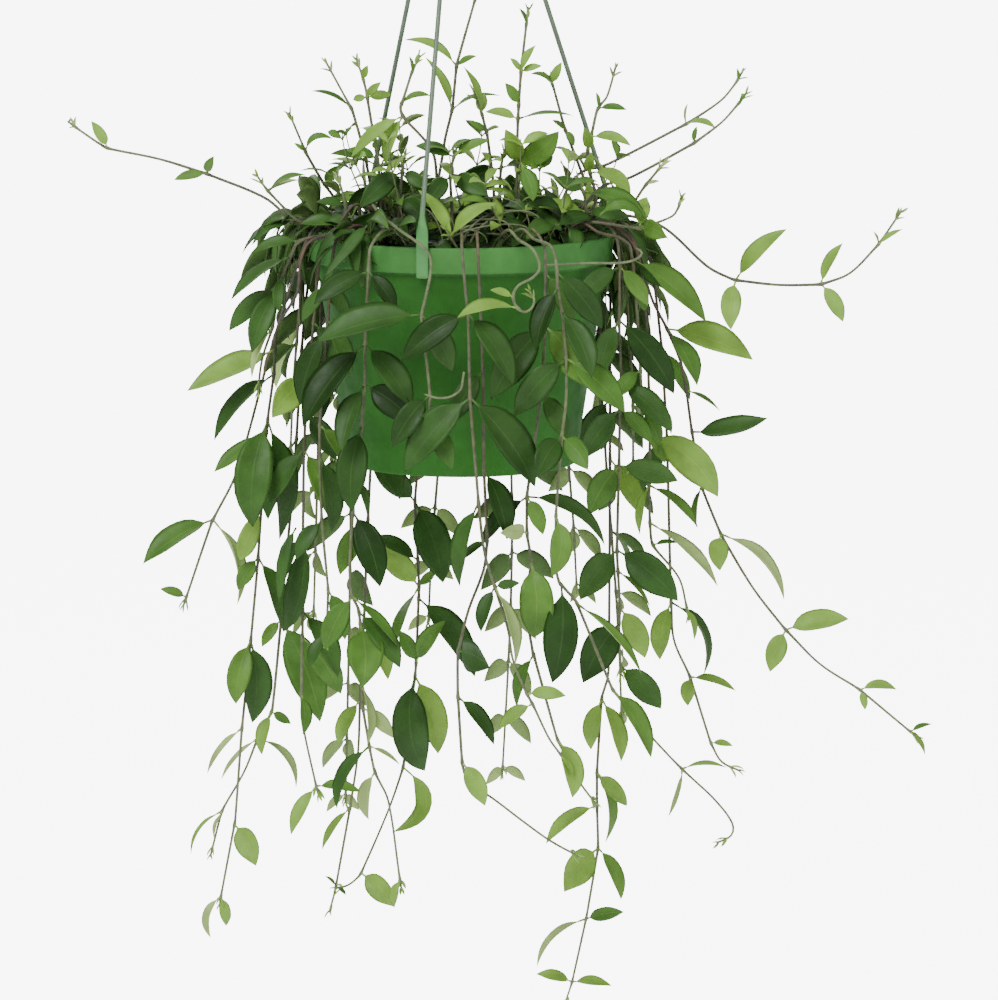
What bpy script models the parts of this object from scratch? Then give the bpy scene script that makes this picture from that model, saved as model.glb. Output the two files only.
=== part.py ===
"""A codonanthe in its hanging pot: a green moulded pot, its soil, a three-strand plastic hanger
and the plant's leafy stems.

Metres, +Z up, the front of the plant towards -Y. The origin is the point under the top of the
hook, where the hanger bears on what it hangs from.

The stems that a photograph of the plant shows are laid out by the pixels they run through in
a picture of 998 x 1000 pixels. Each pixel is turned into a place by the eye point below and
by how far in front of or behind the pot's axis the stem hangs. The far side of the plant is
grown by rule.
"""

import math
import random

import bmesh
import bpy
from mathutils import Vector
from mathutils.bvhtree import BVHTree
from mathutils.geometry import interpolate_bezier

MM = 0.001

# Pot. Heights below are measured from the top of its rim, which lies at RIM_Z.
RIM_Z = -275 * MM
RIM_RADIUS = 75 * MM
RIM_SKIRT = 12.5 * MM
SKIRT_WALL = 1.3 * MM
NECK_RADIUS = 72.2 * MM
BASE_RADIUS = 57 * MM
POT_HEIGHT = 114 * MM
POT_WALL = 1.6 * MM
POT_SIDES = 32
DRAIN_HOLES = 6
DRAIN_RADIUS = 2.6 * MM
DRAIN_CIRCLE = 32 * MM

# Soil, and the plain hole that each stem stands in.
SOIL_DROP = 9 * MM
GAP = 0.3 * MM
HOLE_DEPTH = 12.5 * MM
ROOT_DEPTH = 12 * MM
HOLE_HALF = 1.45 * MM
HOLE_SPACING = 7.5 * MM
HOLE_REACH = 60 * MM

# Hanger.
STRAND_AZIMUTHS = (-14, 106, 218)
STRAND_RADIUS = 1.25 * MM
STRAP_WIDTH = 6 * MM
STRAP_THICK = 1.7 * MM
STRAP_RISE = 10 * MM
HUB_TOP = -31 * MM
HUB_BOTTOM = -46 * MM
HUB_RADIUS = 6.5 * MM
HOOK_ROD = 2.2 * MM
HOOK_INSIDE = 12 * MM

# Stems and leaves.
STEM_START = 1.05 * MM
STEM_END = 0.55 * MM
JOINT_SWELL = 1.2
JOINT_LENGTH = 3.6 * MM
JOINT_SPACING = 6 * MM
BEND_TOLERANCE = 1.05 * MM
CLEARANCE = 0.45 * MM
LEAF_THICK = 1.3 * MM
LEAF_RATIO = 0.36
LEAF_FOLD = 0.07
SMALL_LEAF = 20 * MM
LARGE_SECTIONS = ((0.30, 0.90), (0.66, 0.84))
SMALL_SECTIONS = ((0.45, 0.95),)

# The eye that the pixels are seen from.
PHOTO_WIDTH = 998
PHOTO_HEIGHT = 1000
FOCAL_PIXELS = 5000
PIXEL = 0.5 * MM
EYE_DISTANCE = 2.5
EYE_LIFT = math.radians(8.9)
LOOK_AT = Vector((18.5 * MM, 0, RIM_Z - 134 * MM))
AXIS_PIXEL = 462
SIGHT = Vector((0, math.cos(EYE_LIFT), -math.sin(EYE_LIFT)))
RIGHT = Vector((1, 0, 0))
UP = Vector((0, math.sin(EYE_LIFT), math.cos(EYE_LIFT)))
EYE = LOOK_AT - SIGHT * EYE_DISTANCE

FRONT = -1
BACK = 1

# How old a leaf is, which its colour follows.
DARK = "dark"
MID = "mid"
BRIGHT = "bright"
PALE = "pale"

COLOURS = {
    "pot": (0.068, 0.235, 0.055),
    "soil": (0.030, 0.019, 0.012),
    "hanger": (0.090, 0.165, 0.105),
    DARK: (0.028, 0.085, 0.022),
    MID: (0.075, 0.180, 0.030),
    BRIGHT: (0.200, 0.340, 0.055),
    PALE: (0.300, 0.390, 0.190),
}

# Trailing stems, in pixels: name, side of the pot, hanging radius (mm), shift in depth (mm),
# the stem's path from the rim down, and its leaves as base, tip, width seen and age. A leaf's
# last number, where it has one, is how far it arches, as a part of its length.
TRAILS = [
    ("trail_01", FRONT, 88, 0,
     [(303, 250), (286, 300), (268, 360), (250, 425), (232, 485), (211, 524), (197, 566), (184, 604)],
     [(210, 524, 143, 564, 20, BRIGHT), (218, 523, 237, 605, 8, PALE, 0.25), (184, 604, 160, 589, 9, MID)]),
    ("trail_02", FRONT, 88, -24,
     [(306, 246), (298, 290), (277, 330), (274, 372), (268, 417), (262, 500), (258, 560),
      (256, 600), (251, 638), (242, 728), (236, 790), (235, 822), (230, 841), (220, 903)],
     [(275, 350, 187, 391, 22, BRIGHT, 0.0), (274, 375, 214, 441, 16, DARK), (268, 420, 253, 527, 38, DARK),
      (268, 421, 279, 540, 24, DARK), (265, 440, 214, 472, 14, DARK), (261, 518, 240, 560, 20, BRIGHT),
      (259, 558, 238, 590, 16, MID), (259, 561, 283, 632, 18, DARK), (251, 640, 236, 704, 24, BRIGHT),
      (251, 641, 252, 723, 28, DARK), (242, 728, 207, 774, 9, PALE), (235, 824, 256, 866, 24, BRIGHT),
      (220, 903, 226, 926, 12, BRIGHT), (220, 903, 211, 938, 12, PALE, 0.4)]),
    ("trail_03", BACK, 88, 18,
     [(314, 250), (306, 300), (301, 360), (297, 430), (292, 500), (286, 560), (281, 620),
      (277, 680), (272, 710), (258, 738), (244, 772), (223, 809), (211, 854)],
     [(304, 310, 276, 388, 24, PALE), (302, 350, 322, 420, 24, DARK), (296, 440, 268, 520, 26, DARK),
      (282, 622, 320, 722, 40, DARK), (281, 620, 262, 647, 12, MID), (272, 712, 262, 755, 14, MID),
      (272, 712, 291, 724, 10, MID), (258, 738, 221, 780, 7, DARK), (258, 738, 296, 788, 9, PALE, 0.35),
      (223, 811, 191, 855, 7, MID, 0.3), (222, 813, 214, 838, 4, PALE)]),
    ("trail_04", FRONT, 84, -6,
     [(321, 250), (314, 320), (308, 380), (304, 450), (303, 510), (303, 600), (302, 660),
      (302, 715), (310, 760), (318, 793)],
     [(308, 380, 272, 418, 30, BRIGHT), (318, 278, 350, 320, 18, DARK), (314, 322, 344, 370, 24, DARK),
      (306, 412, 336, 460, 22, DARK), (304, 452, 328, 516, 22, MID), (304, 450, 270, 505, 20, DARK), (303, 535, 275, 608, 20, MID),
      (304, 541, 283, 632, 26, DARK, -0.2), (303, 612, 338, 678, 20, DARK), (303, 638, 341, 694, 26, BRIGHT),
      (302, 695, 303, 735, 12, PALE), (318, 793, 361, 792, 9, MID), (318, 793, 291, 835, 17, BRIGHT)]),
    ("trail_05", FRONT, 86, 4,
     [(333, 252), (328, 315), (322, 378), (320, 423), (320, 477), (323, 540), (328, 590), (326, 640)],
     [(326, 330, 300, 405, 26, DARK), (331, 284, 302, 322, 16, DARK), (327, 320, 350, 376, 20, MID), (320, 425, 352, 470, 16, MID), (320, 457, 331, 532, 20, DARK),
      (322, 520, 296, 560, 16, DARK), (326, 590, 345, 640, 18, MID), (326, 640, 310, 668, 12, BRIGHT)]),
    ("trail_06", FRONT, 90, 0,
     [(370, 250), (368, 308), (365, 343), (365, 378), (362, 423), (354, 500), (350, 560), (351, 592),
      (359, 612), (362, 680), (363, 708), (369, 744), (375, 772), (387, 796), (393, 835), (401, 886)],
     [(365, 345, 303, 427, 28, DARK), (369, 272, 314, 304, 20, DARK), (369, 274, 396, 312, 16, DARK),
      (364, 386, 416, 424, 28, DARK), (364, 386, 342, 452, 22, DARK), (365, 345, 412, 409, 25, DARK), (362, 425, 352, 512, 31, DARK),
      (356, 480, 367, 515, 8, MID), (353, 512, 380, 587, 30, DARK), (351, 596, 325, 650, 24, MID),
      (356, 602, 400, 650, 14, DARK), (359, 612, 400, 668, 22, DARK), (360, 622, 362, 688, 38, BRIGHT),
      (362, 684, 367, 745, 10, MID), (363, 709, 393, 738, 14, PALE), (369, 746, 337, 809, 13, DARK, 0.22),
      (369, 746, 400, 765, 6, MID), (375, 772, 369, 820, 13, PALE, 0.25), (400, 884, 394, 908, 9, DARK)]),
    ("trail_07", BACK, 84, 0,
     [(384, 262), (378, 340), (373, 420), (368, 520), (364, 620), (360, 700), (358, 752), (350, 808),
      (341, 850), (336, 886), (330, 910)],
     [(373, 440, 400, 500, 22, DARK), (368, 520, 340, 575, 22, MID), (364, 620, 388, 680, 20, MID),
      (360, 700, 338, 745, 16, BRIGHT), (350, 808, 322, 850, 12, BRIGHT), (336, 886, 325, 876, 3, MID),
      (336, 886, 346, 895, 4, DARK)]),
    ("trail_08", BACK, 82, 0,
     [(422, 262), (420, 380), (418, 475), (415, 502), (417, 545), (419, 587), (417, 625), (416, 665),
      (412, 700), (403, 767), (390, 806), (361, 873), (350, 884), (337, 888)],
     [(415, 503, 370, 463, 26, DARK), (415, 503, 443, 583, 38, DARK), (419, 587, 373, 543, 26, BRIGHT),
      (417, 560, 371, 536, 14, DARK), (419, 587, 437, 570, 10, BRIGHT), (418, 594, 395, 650, 18, MID),
      (418, 594, 475, 677, 26, DARK), (416, 663, 398, 630, 16, BRIGHT), (416, 663, 446, 620, 18, BRIGHT),
      (414, 678, 425, 771, 38, DARK, -0.2), (414, 676, 438, 754, 30, BRIGHT), (403, 767, 393, 832, 15, BRIGHT, -0.9),
      (361, 873, 395, 907, 24, BRIGHT)]),
    ("trail_09", FRONT, 92, 0,
     [(362, 201, -36), (382, 216, -58), (406, 235, -76), (430, 256, -86), (428, 285, -90), (422, 315, -91),
      (424, 350, -92), (430, 395, -92), (426, 440, -92)],
     [(422, 316, 316, 342, 26, PALE), (422, 317, 452, 372, 26, DARK), (429, 395, 392, 448, 24, DARK),
      (428, 420, 452, 470, 20, DARK)]),
    ("trail_10", FRONT, 96, 0,
     [(462, 250), (466, 300), (468, 314), (469, 340), (470, 398), (473, 430), (475, 450), (480, 520),
      (486, 560), (495, 587), (508, 630), (513, 660), (526, 692), (533, 705), (550, 740), (565, 760)],
     [(468, 314, 402, 361, 26, DARK), (468, 314, 513, 385, 24, DARK), (470, 399, 405, 472, 31, DARK),
      (470, 399, 535, 487, 32, DARK), (478, 503, 460, 587, 18, DARK), (495, 588, 481, 632, 14, MID),
      (495, 588, 520, 583, 10, BRIGHT), (497, 592, 515, 665, 12, BRIGHT), (532, 703, 499, 729, 12, BRIGHT),
      (528, 694, 566, 696, 13, BRIGHT), (564, 759, 573, 777, 5, BRIGHT)]),
    ("trail_11", FRONT, 84, 0,
     [(478, 252), (481, 330), (484, 400), (484, 470), (486, 558), (468, 612), (457, 660), (458, 697),
      (462, 760), (468, 780), (495, 800), (546, 838), (576, 855)],
     [(483, 370, 452, 425, 22, DARK), (484, 470, 507, 540, 22, DARK), (484, 540, 462, 560, 8, DARK),
      (459, 652, 490, 668, 36, DARK), (458, 698, 494, 745, 14, DARK), (463, 762, 485, 806, 20, BRIGHT)]),
    ("trail_12", FRONT, 88, 0,
     [(545, 250), (545, 300), (545, 326), (545, 356), (538, 420), (529, 480), (527, 497), (527, 533),
      (531, 561), (526, 600), (530, 640), (536, 663), (543, 690), (548, 710), (557, 738), (575, 775),
      (595, 803)],
     [(545, 328, 491, 400, 34, MID), (545, 274, 574, 322, 20, DARK), (541, 392, 566, 440, 20, MID), (545, 326, 592, 390, 34, MID), (527, 498, 482, 545, 16, DARK),
      (528, 497, 605, 546, 20, DARK, 0.3), (528, 500, 543, 535, 16, MID), (527, 534, 500, 533, 18, PALE),
      (531, 562, 533, 638, 34, BRIGHT), (533, 655, 517, 708, 12, DARK), (557, 740, 572, 798, 20, BRIGHT, 0.25)]),
    ("trail_13", FRONT, 94, 0,
     [(553, 250), (558, 290), (562, 314), (566, 356), (566, 400), (562, 434), (558, 478), (556, 516),
      (557, 577), (574, 598), (590, 635), (607, 675), (613, 690), (650, 735), (682, 769), (715, 800),
      (733, 825), (730, 837), (719, 842)],
     [(556, 274, 602, 329, 26, DARK), (557, 288, 536, 350, 20, DARK), (561, 312, 592, 378, 24, DARK), (566, 358, 514, 417, 28, DARK), (566, 358, 625, 413, 26, MID),
      (562, 436, 537, 478, 26, MID), (562, 436, 588, 470, 22, MID), (556, 517, 551, 577, 22, PALE, -0.25),
      (560, 584, 552, 683, 34, DARK, -0.12), (578, 604, 642, 675, 9, MID), (613, 690, 651, 758, 18, BRIGHT),
      (682, 769, 727, 768, 6, MID, 0.22), (682, 769, 668, 817, 8, MID, -0.15)]),
    ("trail_14", FRONT, 84, -4,
     [(619, 250), (619, 318), (621, 379), (620, 409), (619, 466), (617, 548), (620, 608), (619, 630),
      (621, 673)],
     [(619, 320, 674, 394, 34, DARK), (619, 268, 574, 304, 24, DARK), (619, 268, 648, 306, 20, DARK), (619, 320, 598, 379, 26, DARK), (621, 383, 671, 432, 22, MID),
      (620, 409, 583, 459, 26, DARK), (620, 411, 652, 444, 16, MID), (619, 467, 589, 515, 28, DARK),
      (619, 467, 678, 481, 24, DARK), (617, 550, 580, 600, 30, DARK), (617, 551, 678, 601, 34, DARK),
      (618, 572, 650, 607, 8, MID), (620, 607, 645, 658, 24, BRIGHT), (619, 624, 583, 683, 36, DARK),
      (621, 671, 661, 709, 26, DARK)]),
    ("trail_15", BACK, 84, -8,
     [(608, 256), (610, 350), (610, 450), (610, 550), (609, 620), (608, 675), (602, 697), (598, 750),
      (597, 773), (597, 806), (598, 846), (593, 879), (586, 919), (572, 982), (565, 1003)],
     [(610, 400, 580, 455, 24, DARK), (610, 460, 640, 515, 22, MID), (602, 700, 591, 750, 18, BRIGHT),
      (602, 700, 621, 762, 17, BRIGHT), (597, 773, 627, 806, 14, BRIGHT), (597, 774, 605, 843, 10, DARK, 0.22),
      (597, 806, 546, 844, 18, BRIGHT, 0.22), (598, 848, 564, 892, 32, BRIGHT), (598, 848, 621, 900, 20, DARK, 0.22),
      (586, 918, 624, 912, 14, DARK), (586, 920, 537, 967, 9, PALE, 0.3), (572, 981, 536, 974, 10, BRIGHT),
      (572, 981, 612, 986, 8, BRIGHT)]),
    ("trail_16", FRONT, 88, -16,
     [(636, 250), (646, 320), (651, 400), (650, 436), (649, 485), (650, 523), (653, 545), (680, 580),
      (688, 615)],
     [(650, 434, 718, 497, 34, BRIGHT, 0.2), (650, 437, 665, 463, 14, MID), (649, 486, 698, 528, 9, MID),
      (649, 486, 640, 535, 12, MID), (650, 523, 718, 587, 14, MID), (653, 546, 678, 543, 4, MID),
      (687, 613, 694, 640, 7, BRIGHT)]),
    ("trail_17", BACK, 88, 12,
     [(650, 262), (661, 340), (667, 440), (668, 540), (671, 600), (674, 640), (690, 677), (697, 700),
      (711, 743), (722, 762), (738, 770)],
     [(662, 350, 690, 400, 22, DARK), (667, 440, 642, 490, 20, DARK), (671, 603, 703, 676, 7, DARK, 0.4),
      (671, 603, 660, 660, 20, BRIGHT), (690, 678, 688, 706, 15, BRIGHT), (690, 676, 736, 691, 7, MID),
      (711, 743, 733, 746, 6, BRIGHT)]),
    ("trail_18", FRONT, 88, -4,
     [(634, 242), (652, 299), (667, 329), (682, 367), (692, 432), (704, 495), (720, 532), (735, 560),
      (765, 605), (786, 630), (820, 664), (860, 690), (883, 710), (916, 736)],
     [(667, 330, 753, 360, 26, BRIGHT), (667, 331, 697, 386, 20, MID), (686, 390, 720, 411, 6, MID),
      (692, 432, 768, 418, 18, DARK, -0.1), (702, 486, 697, 528, 6, MID), (720, 534, 720, 571, 21, BRIGHT),
      (722, 535, 784, 600, 9, PALE, 0.25), (786, 630, 849, 619, 19, BRIGHT), (786, 631, 770, 672, 21, BRIGHT),
      (860, 690, 897, 690, 8, BRIGHT, 0.25), (860, 691, 865, 710, 8, BRIGHT), (914, 735, 932, 724, 4, MID),
      (914, 735, 925, 755, 5, BRIGHT)]),
    ("trail_19", FRONT, 84, -30,
     [(624, 240), (632, 258), (635, 285), (638, 330), (641, 380), (643, 420)],
     [(634, 260, 706, 322, 26, BRIGHT), (634, 262, 663, 289, 22, DARK), (635, 285, 648, 322, 22, BRIGHT),
      (640, 370, 612, 400, 16, MID), (642, 410, 660, 445, 16, MID)]),
    ("trail_20", FRONT, 102, 0,
     [(533, 250), (540, 266), (532, 278), (519, 285), (513, 295), (516, 306), (524, 312), (532, 308),
      (534, 299), (530, 292)],
     [(516, 306, 457, 318, 11, BRIGHT, 0.2), (512, 297, 490, 290, 7, BRIGHT)]),
    ("trail_21", FRONT, 84, -36,
     [(302, 240), (290, 258), (279, 288), (273, 325), (262, 360), (258, 392)],
     [(300, 242, 253, 254, 12, PALE, 0.22), (291, 257, 231, 300, 14, DARK), (279, 288, 229, 331, 22, DARK),
      (278, 292, 252, 353, 26, BRIGHT), (272, 327, 252, 378, 10, PALE), (282, 275, 279, 312, 14, MID)]),
]

# Runners that reach out over the rim and shoots that stand up: name, depth (mm) at the soil
# and at the tip, path from the soil out, leaves.
SHOOTS = [
    ("runner_01", -6, 12,
     [(300, 224), (265, 198), (207, 174), (159, 159), (105, 147), (70, 123)],
     [(107, 148, 91, 121, 13, BRIGHT), (207, 174, 214, 156, 12, MID), (207, 174, 174, 180, 11, DARK),
      (74, 126, 76, 116, 3, PALE)]),
    ("runner_02", -22, -30,
     [(301, 222), (282, 205), (268, 191), (258, 177)],
     [(259, 178, 306, 175, 6, DARK, 0.2), (268, 191, 300, 180, 5, PALE)]),
    ("runner_03", -10, -34,
     [(629, 216), (663, 227), (690, 252), (717, 273), (736, 280), (781, 285), (821, 284), (850, 273),
      (877, 246), (900, 213)],
     [(735, 280, 787, 229, 18, BRIGHT), (735, 281, 731, 330, 24, BRIGHT), (821, 283, 843, 243, 12, BRIGHT),
      (821, 285, 843, 322, 18, BRIGHT), (878, 245, 903, 229, 6, BRIGHT), (878, 245, 873, 231, 3, PALE)]),
    ("runner_04", 16, 34,
     [(575, 178), (608, 164), (650, 143), (686, 124), (705, 112), (728, 94), (741, 74)],
     [(686, 124, 688, 103, 3, PALE), (688, 123, 716, 129, 7, BRIGHT, 0.3), (739, 80, 737, 68, 4, MID)]),
    ("runner_05", -4, -14,
     [(598, 190), (627, 179), (660, 162), (694, 143), (722, 122), (739, 103), (745, 95)],
     [(694, 143, 697, 126, 6, DARK), (739, 103, 748, 92, 4, MID)]),
    ("runner_06", -30, -46,
     [(600, 212), (629, 206), (645, 186), (663, 164)],
     [(646, 184, 660, 181, 4, PALE), (661, 166, 672, 160, 4, PALE)]),
    ("runner_07", -42, -56,
     [(636, 228), (659, 221), (675, 214), (681, 198)],
     [(679, 203, 686, 198, 3, PALE), (640, 227, 667, 238, 26, DARK), (640, 227, 647, 197, 20, BRIGHT)]),
    ("shoot_01", 10, -8,
     [(336, 200), (320, 178), (309, 159), (298, 134), (290, 115)],
     [(306, 152, 333, 139, 9, DARK, 0.6), (306, 152, 294, 143, 5, DARK), (325, 184, 341, 165, 13, MID)]),
    ("shoot_02", 4, 20,
     [(372, 200), (366, 160), (360, 131), (351, 108), (338, 86), (327, 64)],
     [(351, 108, 311, 91, 9, MID, 0.2), (366, 160, 330, 154, 8, DARK)]),
    ("shoot_03", -6, 2,
     [(381, 196), (376, 150), (370, 121), (367, 95), (362, 75), (357, 61)],
     [(367, 97, 392, 95, 10, BRIGHT), (367, 97, 353, 100, 8, BRIGHT), (363, 79, 368, 65, 8, BRIGHT),
      (366, 92, 381, 82, 9, BRIGHT), (376, 160, 346, 150, 10, MID)]),
    ("shoot_04", -24, -30,
     [(436, 196), (435, 160), (427, 143), (401, 112), (406, 93), (412, 72), (419, 58)],
     [(402, 113, 351, 158, 22, BRIGHT, 0.15), (403, 116, 386, 165, 14, BRIGHT), (403, 104, 431, 96, 8, MID, 0.3),
      (412, 72, 409, 56, 4, MID)]),
    ("shoot_05", 14, 26,
     [(438, 200), (445, 139), (452, 110), (455, 85), (457, 64), (466, 30), (475, 0), (479, -16)],
     [(457, 66, 404, 40, 10, MID, 0.25), (458, 64, 477, 56, 6, MID), (452, 109, 425, 57, 12, BRIGHT),
      (452, 110, 501, 96, 6, DARK, 0.25), (475, 0, 466, -14, 6, MID), (476, -4, 488, -14, 6, MID)]),
    ("shoot_06", 0, -12,
     [(494, 200), (490, 150), (486, 130), (480, 108), (474, 92)],
     [(481, 111, 463, 66, 10, BRIGHT), (482, 114, 484, 92, 12, BRIGHT), (487, 132, 469, 122, 7, MID)]),
    ("shoot_07", -14, -6,
     [(517, 204), (517, 150), (518, 119), (521, 72), (524, 45), (528, 10)],
     [(518, 163, 505, 129, 20, MID), (517, 160, 559, 131, 26, BRIGHT, -0.12), (518, 120, 485, 112, 9, BRIGHT),
      (518, 120, 574, 116, 7, DARK, 0.15), (519, 106, 505, 83, 11, DARK), (521, 70, 542, 66, 7, BRIGHT),
      (522, 64, 536, 45, 8, BRIGHT), (521, 72, 510, 58, 6, BRIGHT), (526, 24, 519, 8, 4, MID)]),
    ("shoot_08", 22, 10,
     [(588, 204), (577, 160), (564, 126), (557, 98), (550, 78)],
     [(552, 84, 562, 62, 9, BRIGHT), (564, 126, 552, 120, 5, MID), (566, 130, 574, 146, 8, MID),
      (551, 80, 530, 74, 5, MID, 0.3)]),
    ("shoot_09", -20, -26,
     [(594, 206), (589, 168), (588, 148), (594, 126), (598, 108), (606, 99), (615, 69)],
     [(589, 150, 584, 127, 14, BRIGHT), (592, 137, 631, 146, 11, BRIGHT, 0.2), (598, 108, 627, 110, 8, MID),
      (598, 108, 596, 92, 5, DARK), (589, 172, 630, 200, 16, BRIGHT, 0.45), (589, 172, 592, 152, 14, BRIGHT)]),
    ("shoot_10", -62, -66,
     [(458, 250), (452, 240), (447, 231)],
     [(448, 233, 418, 190, 13, BRIGHT), (448, 233, 498, 203, 14, BRIGHT, 0.2)]),
    ("tuft_01", -34, -38,
     [(399, 224), (400, 200), (402, 174), (405, 156)],
     [(403, 162, 427, 190, 14, DARK), (402, 172, 360, 208, 22, DARK), (400, 198, 428, 228, 20, DARK)]),
    ("tuft_02", -40, -40,
     [(452, 226), (450, 190), (452, 165), (456, 150)],
     [(455, 152, 415, 146, 12, DARK), (451, 172, 426, 206, 18, DARK), (451, 176, 488, 196, 20, DARK),
      (455, 153, 490, 140, 10, MID)]),
    ("tuft_03", 6, 0,
     [(500, 222), (500, 190), (501, 168), (504, 152)],
     [(501, 168, 455, 188, 20, DARK), (501, 166, 545, 164, 9, DARK), (500, 192, 532, 216, 20, DARK)]),
    ("tuft_04", -44, -46,
     [(348, 226), (346, 208), (343, 190), (338, 176)],
     [(346, 205, 316, 202, 9, DARK), (348, 224, 336, 268, 14, PALE), (345, 202, 372, 188, 16, DARK), (348, 220, 300, 224, 12, MID),
      (347, 222, 392, 216, 14, MID)]),
    ("tuft_05", -30, -34,
     [(588, 226), (586, 210), (584, 194), (578, 180)],
     [(586, 208, 630, 217, 16, DARK), (584, 192, 648, 221, 16, DARK, 0.2), (582, 188, 553, 178, 14, DARK),
      (586, 212, 530, 207, 12, MID)]),
    ("tuft_06", 30, 34,
     [(420, 220), (414, 196), (408, 180)],
     [(413, 192, 380, 182, 16, DARK), (413, 192, 446, 182, 16, DARK), (409, 183, 398, 166, 12, MID)]),
]

# Stems grown by rule over the far rim: azimuth from the front (degrees), length below the rim (mm).
FAR_STEMS = [
    (104, 120), (118, 250), (130, 110), (142, 190), (154, 112), (166, 290), (177, 112),
    (189, 210), (200, 112), (212, 300), (224, 118), (238, 200), (253, 112),
]
FAR_RADIUS = 83 * MM
FAR_NODE_SPACING = 30 * MM
FAR_LEAF = 42 * MM


def clear_scene():
    """Takes away whatever the opened file holds."""
    for thing in list(bpy.data.objects):
        bpy.data.objects.remove(thing)


def finish(name, mesh, colour, roughness=0.5):
    """Puts a mesh in the scene as one named object with its own material."""
    material = bpy.data.materials.new(name)
    material.use_nodes = True
    shader = material.node_tree.nodes["Principled BSDF"]
    shader.inputs["Base Color"].default_value = (*colour, 1)
    shader.inputs["Roughness"].default_value = roughness
    mesh.materials.clear()
    mesh.materials.append(material)
    thing = bpy.data.objects.new(name, mesh)
    bpy.context.scene.collection.objects.link(thing)
    return thing


def from_photo(u, v, depth):
    """The place at y = depth that lies behind the pixel (u, v)."""
    ray = SIGHT + RIGHT * ((u - PHOTO_WIDTH / 2) / FOCAL_PIXELS) + UP * ((PHOTO_HEIGHT / 2 - v) / FOCAL_PIXELS)
    return EYE + ray * ((depth - EYE.y) / ray.y)


def to_photo(place):
    """The pixel that a place is seen at."""
    ray = place - EYE
    scale = FOCAL_PIXELS / ray.dot(SIGHT)
    return PHOTO_WIDTH / 2 + ray.dot(RIGHT) * scale, PHOTO_HEIGHT / 2 - ray.dot(UP) * scale


def around(azimuth, radius, height):
    """A place given by its azimuth from the front (degrees), radius and height."""
    turn = math.radians(azimuth)
    return Vector((radius * math.sin(turn), -radius * math.cos(turn), height))


class Body:
    """The corners and faces of one closed solid while it is put together."""

    def __init__(self):
        self.corners = []
        self.faces = []

    def ring(self, places):
        """Adds a ring of corners and returns their numbers."""
        first = len(self.corners)
        self.corners.extend(places)
        return list(range(first, first + len(places)))

    def band(self, lower, upper, skip=()):
        """Side faces between two rings, apart from those numbered in skip."""
        count = len(lower)
        for k in range(count):
            if k not in skip:
                after = (k + 1) % count
                self.faces.append((lower[k], lower[after], upper[after], upper[k]))

    def point(self, ring, place):
        """Closes a ring to one point beyond it."""
        top = len(self.corners)
        self.corners.append(place)
        count = len(ring)
        for k in range(count):
            self.faces.append((ring[k], ring[(k + 1) % count], top))

    def cap(self, ring):
        """Closes the ring that a solid starts from."""
        self.faces.append(tuple(reversed(ring)))

    def mesh(self, name):
        made = bpy.data.meshes.new(name)
        made.from_pydata([tuple(place) for place in self.corners], [], self.faces)
        made.validate()
        return made


def turned(profile, sides):
    """A solid of revolution about +Z from (radius, height) points, from the lower end of the
    axis round the outside to the upper end of the axis."""
    body = Body()
    bottom = profile[0]
    top = profile[-1]
    rings = []
    for radius, height in profile[1:-1]:
        rings.append(body.ring([around(360 * k / sides, radius, height) for k in range(sides)]))
    for lower, upper in zip(rings, rings[1:]):
        body.band(lower, upper)
    body.point(rings[-1], Vector((0, 0, top[1])))
    low_point = len(body.corners)
    body.corners.append(Vector((0, 0, bottom[1])))
    for k in range(sides):
        body.faces.append((rings[0][(k + 1) % sides], rings[0][k], low_point))
    return body


def square_ring(centre, along, across, radius, sides=4):
    """Corners round a centre, right-handed about the direction along."""
    first = (across - along * across.dot(along)).normalized()
    second = along.cross(first)
    places = []
    for k in range(sides):
        turn = 2 * math.pi * (k + 0.5) / sides
        places.append(centre + (first * math.cos(turn) + second * math.sin(turn)) * radius)
    return places


def rod(points, radius, sides):
    """A plain round rod through points, with flat ends."""
    body = Body()
    across = Vector((0, 1, 0))
    previous = None
    for k, place in enumerate(points):
        ahead = points[min(k + 1, len(points) - 1)]
        behind = points[max(k - 1, 0)]
        ring = body.ring(square_ring(place, (ahead - behind).normalized(), across, radius, sides))
        if previous:
            body.band(previous, ring)
        else:
            body.cap(ring)
        previous = ring
    body.faces.append(tuple(previous))
    return body


def combined(thing, other, operation):
    """Applies one Boolean step to an object and removes the other object."""
    step = thing.modifiers.new("step", "BOOLEAN")
    step.operation = operation
    step.solver = "EXACT"
    step.object = other
    scene_graph = bpy.context.evaluated_depsgraph_get()
    mesh = bpy.data.meshes.new_from_object(thing.evaluated_get(scene_graph))
    thing.modifiers.clear()
    thing.data = mesh
    bpy.data.objects.remove(other)


def scratch(body):
    """A passing object for a Boolean step."""
    thing = bpy.data.objects.new("step", body.mesh("step"))
    bpy.context.scene.collection.objects.link(thing)
    return thing


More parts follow.
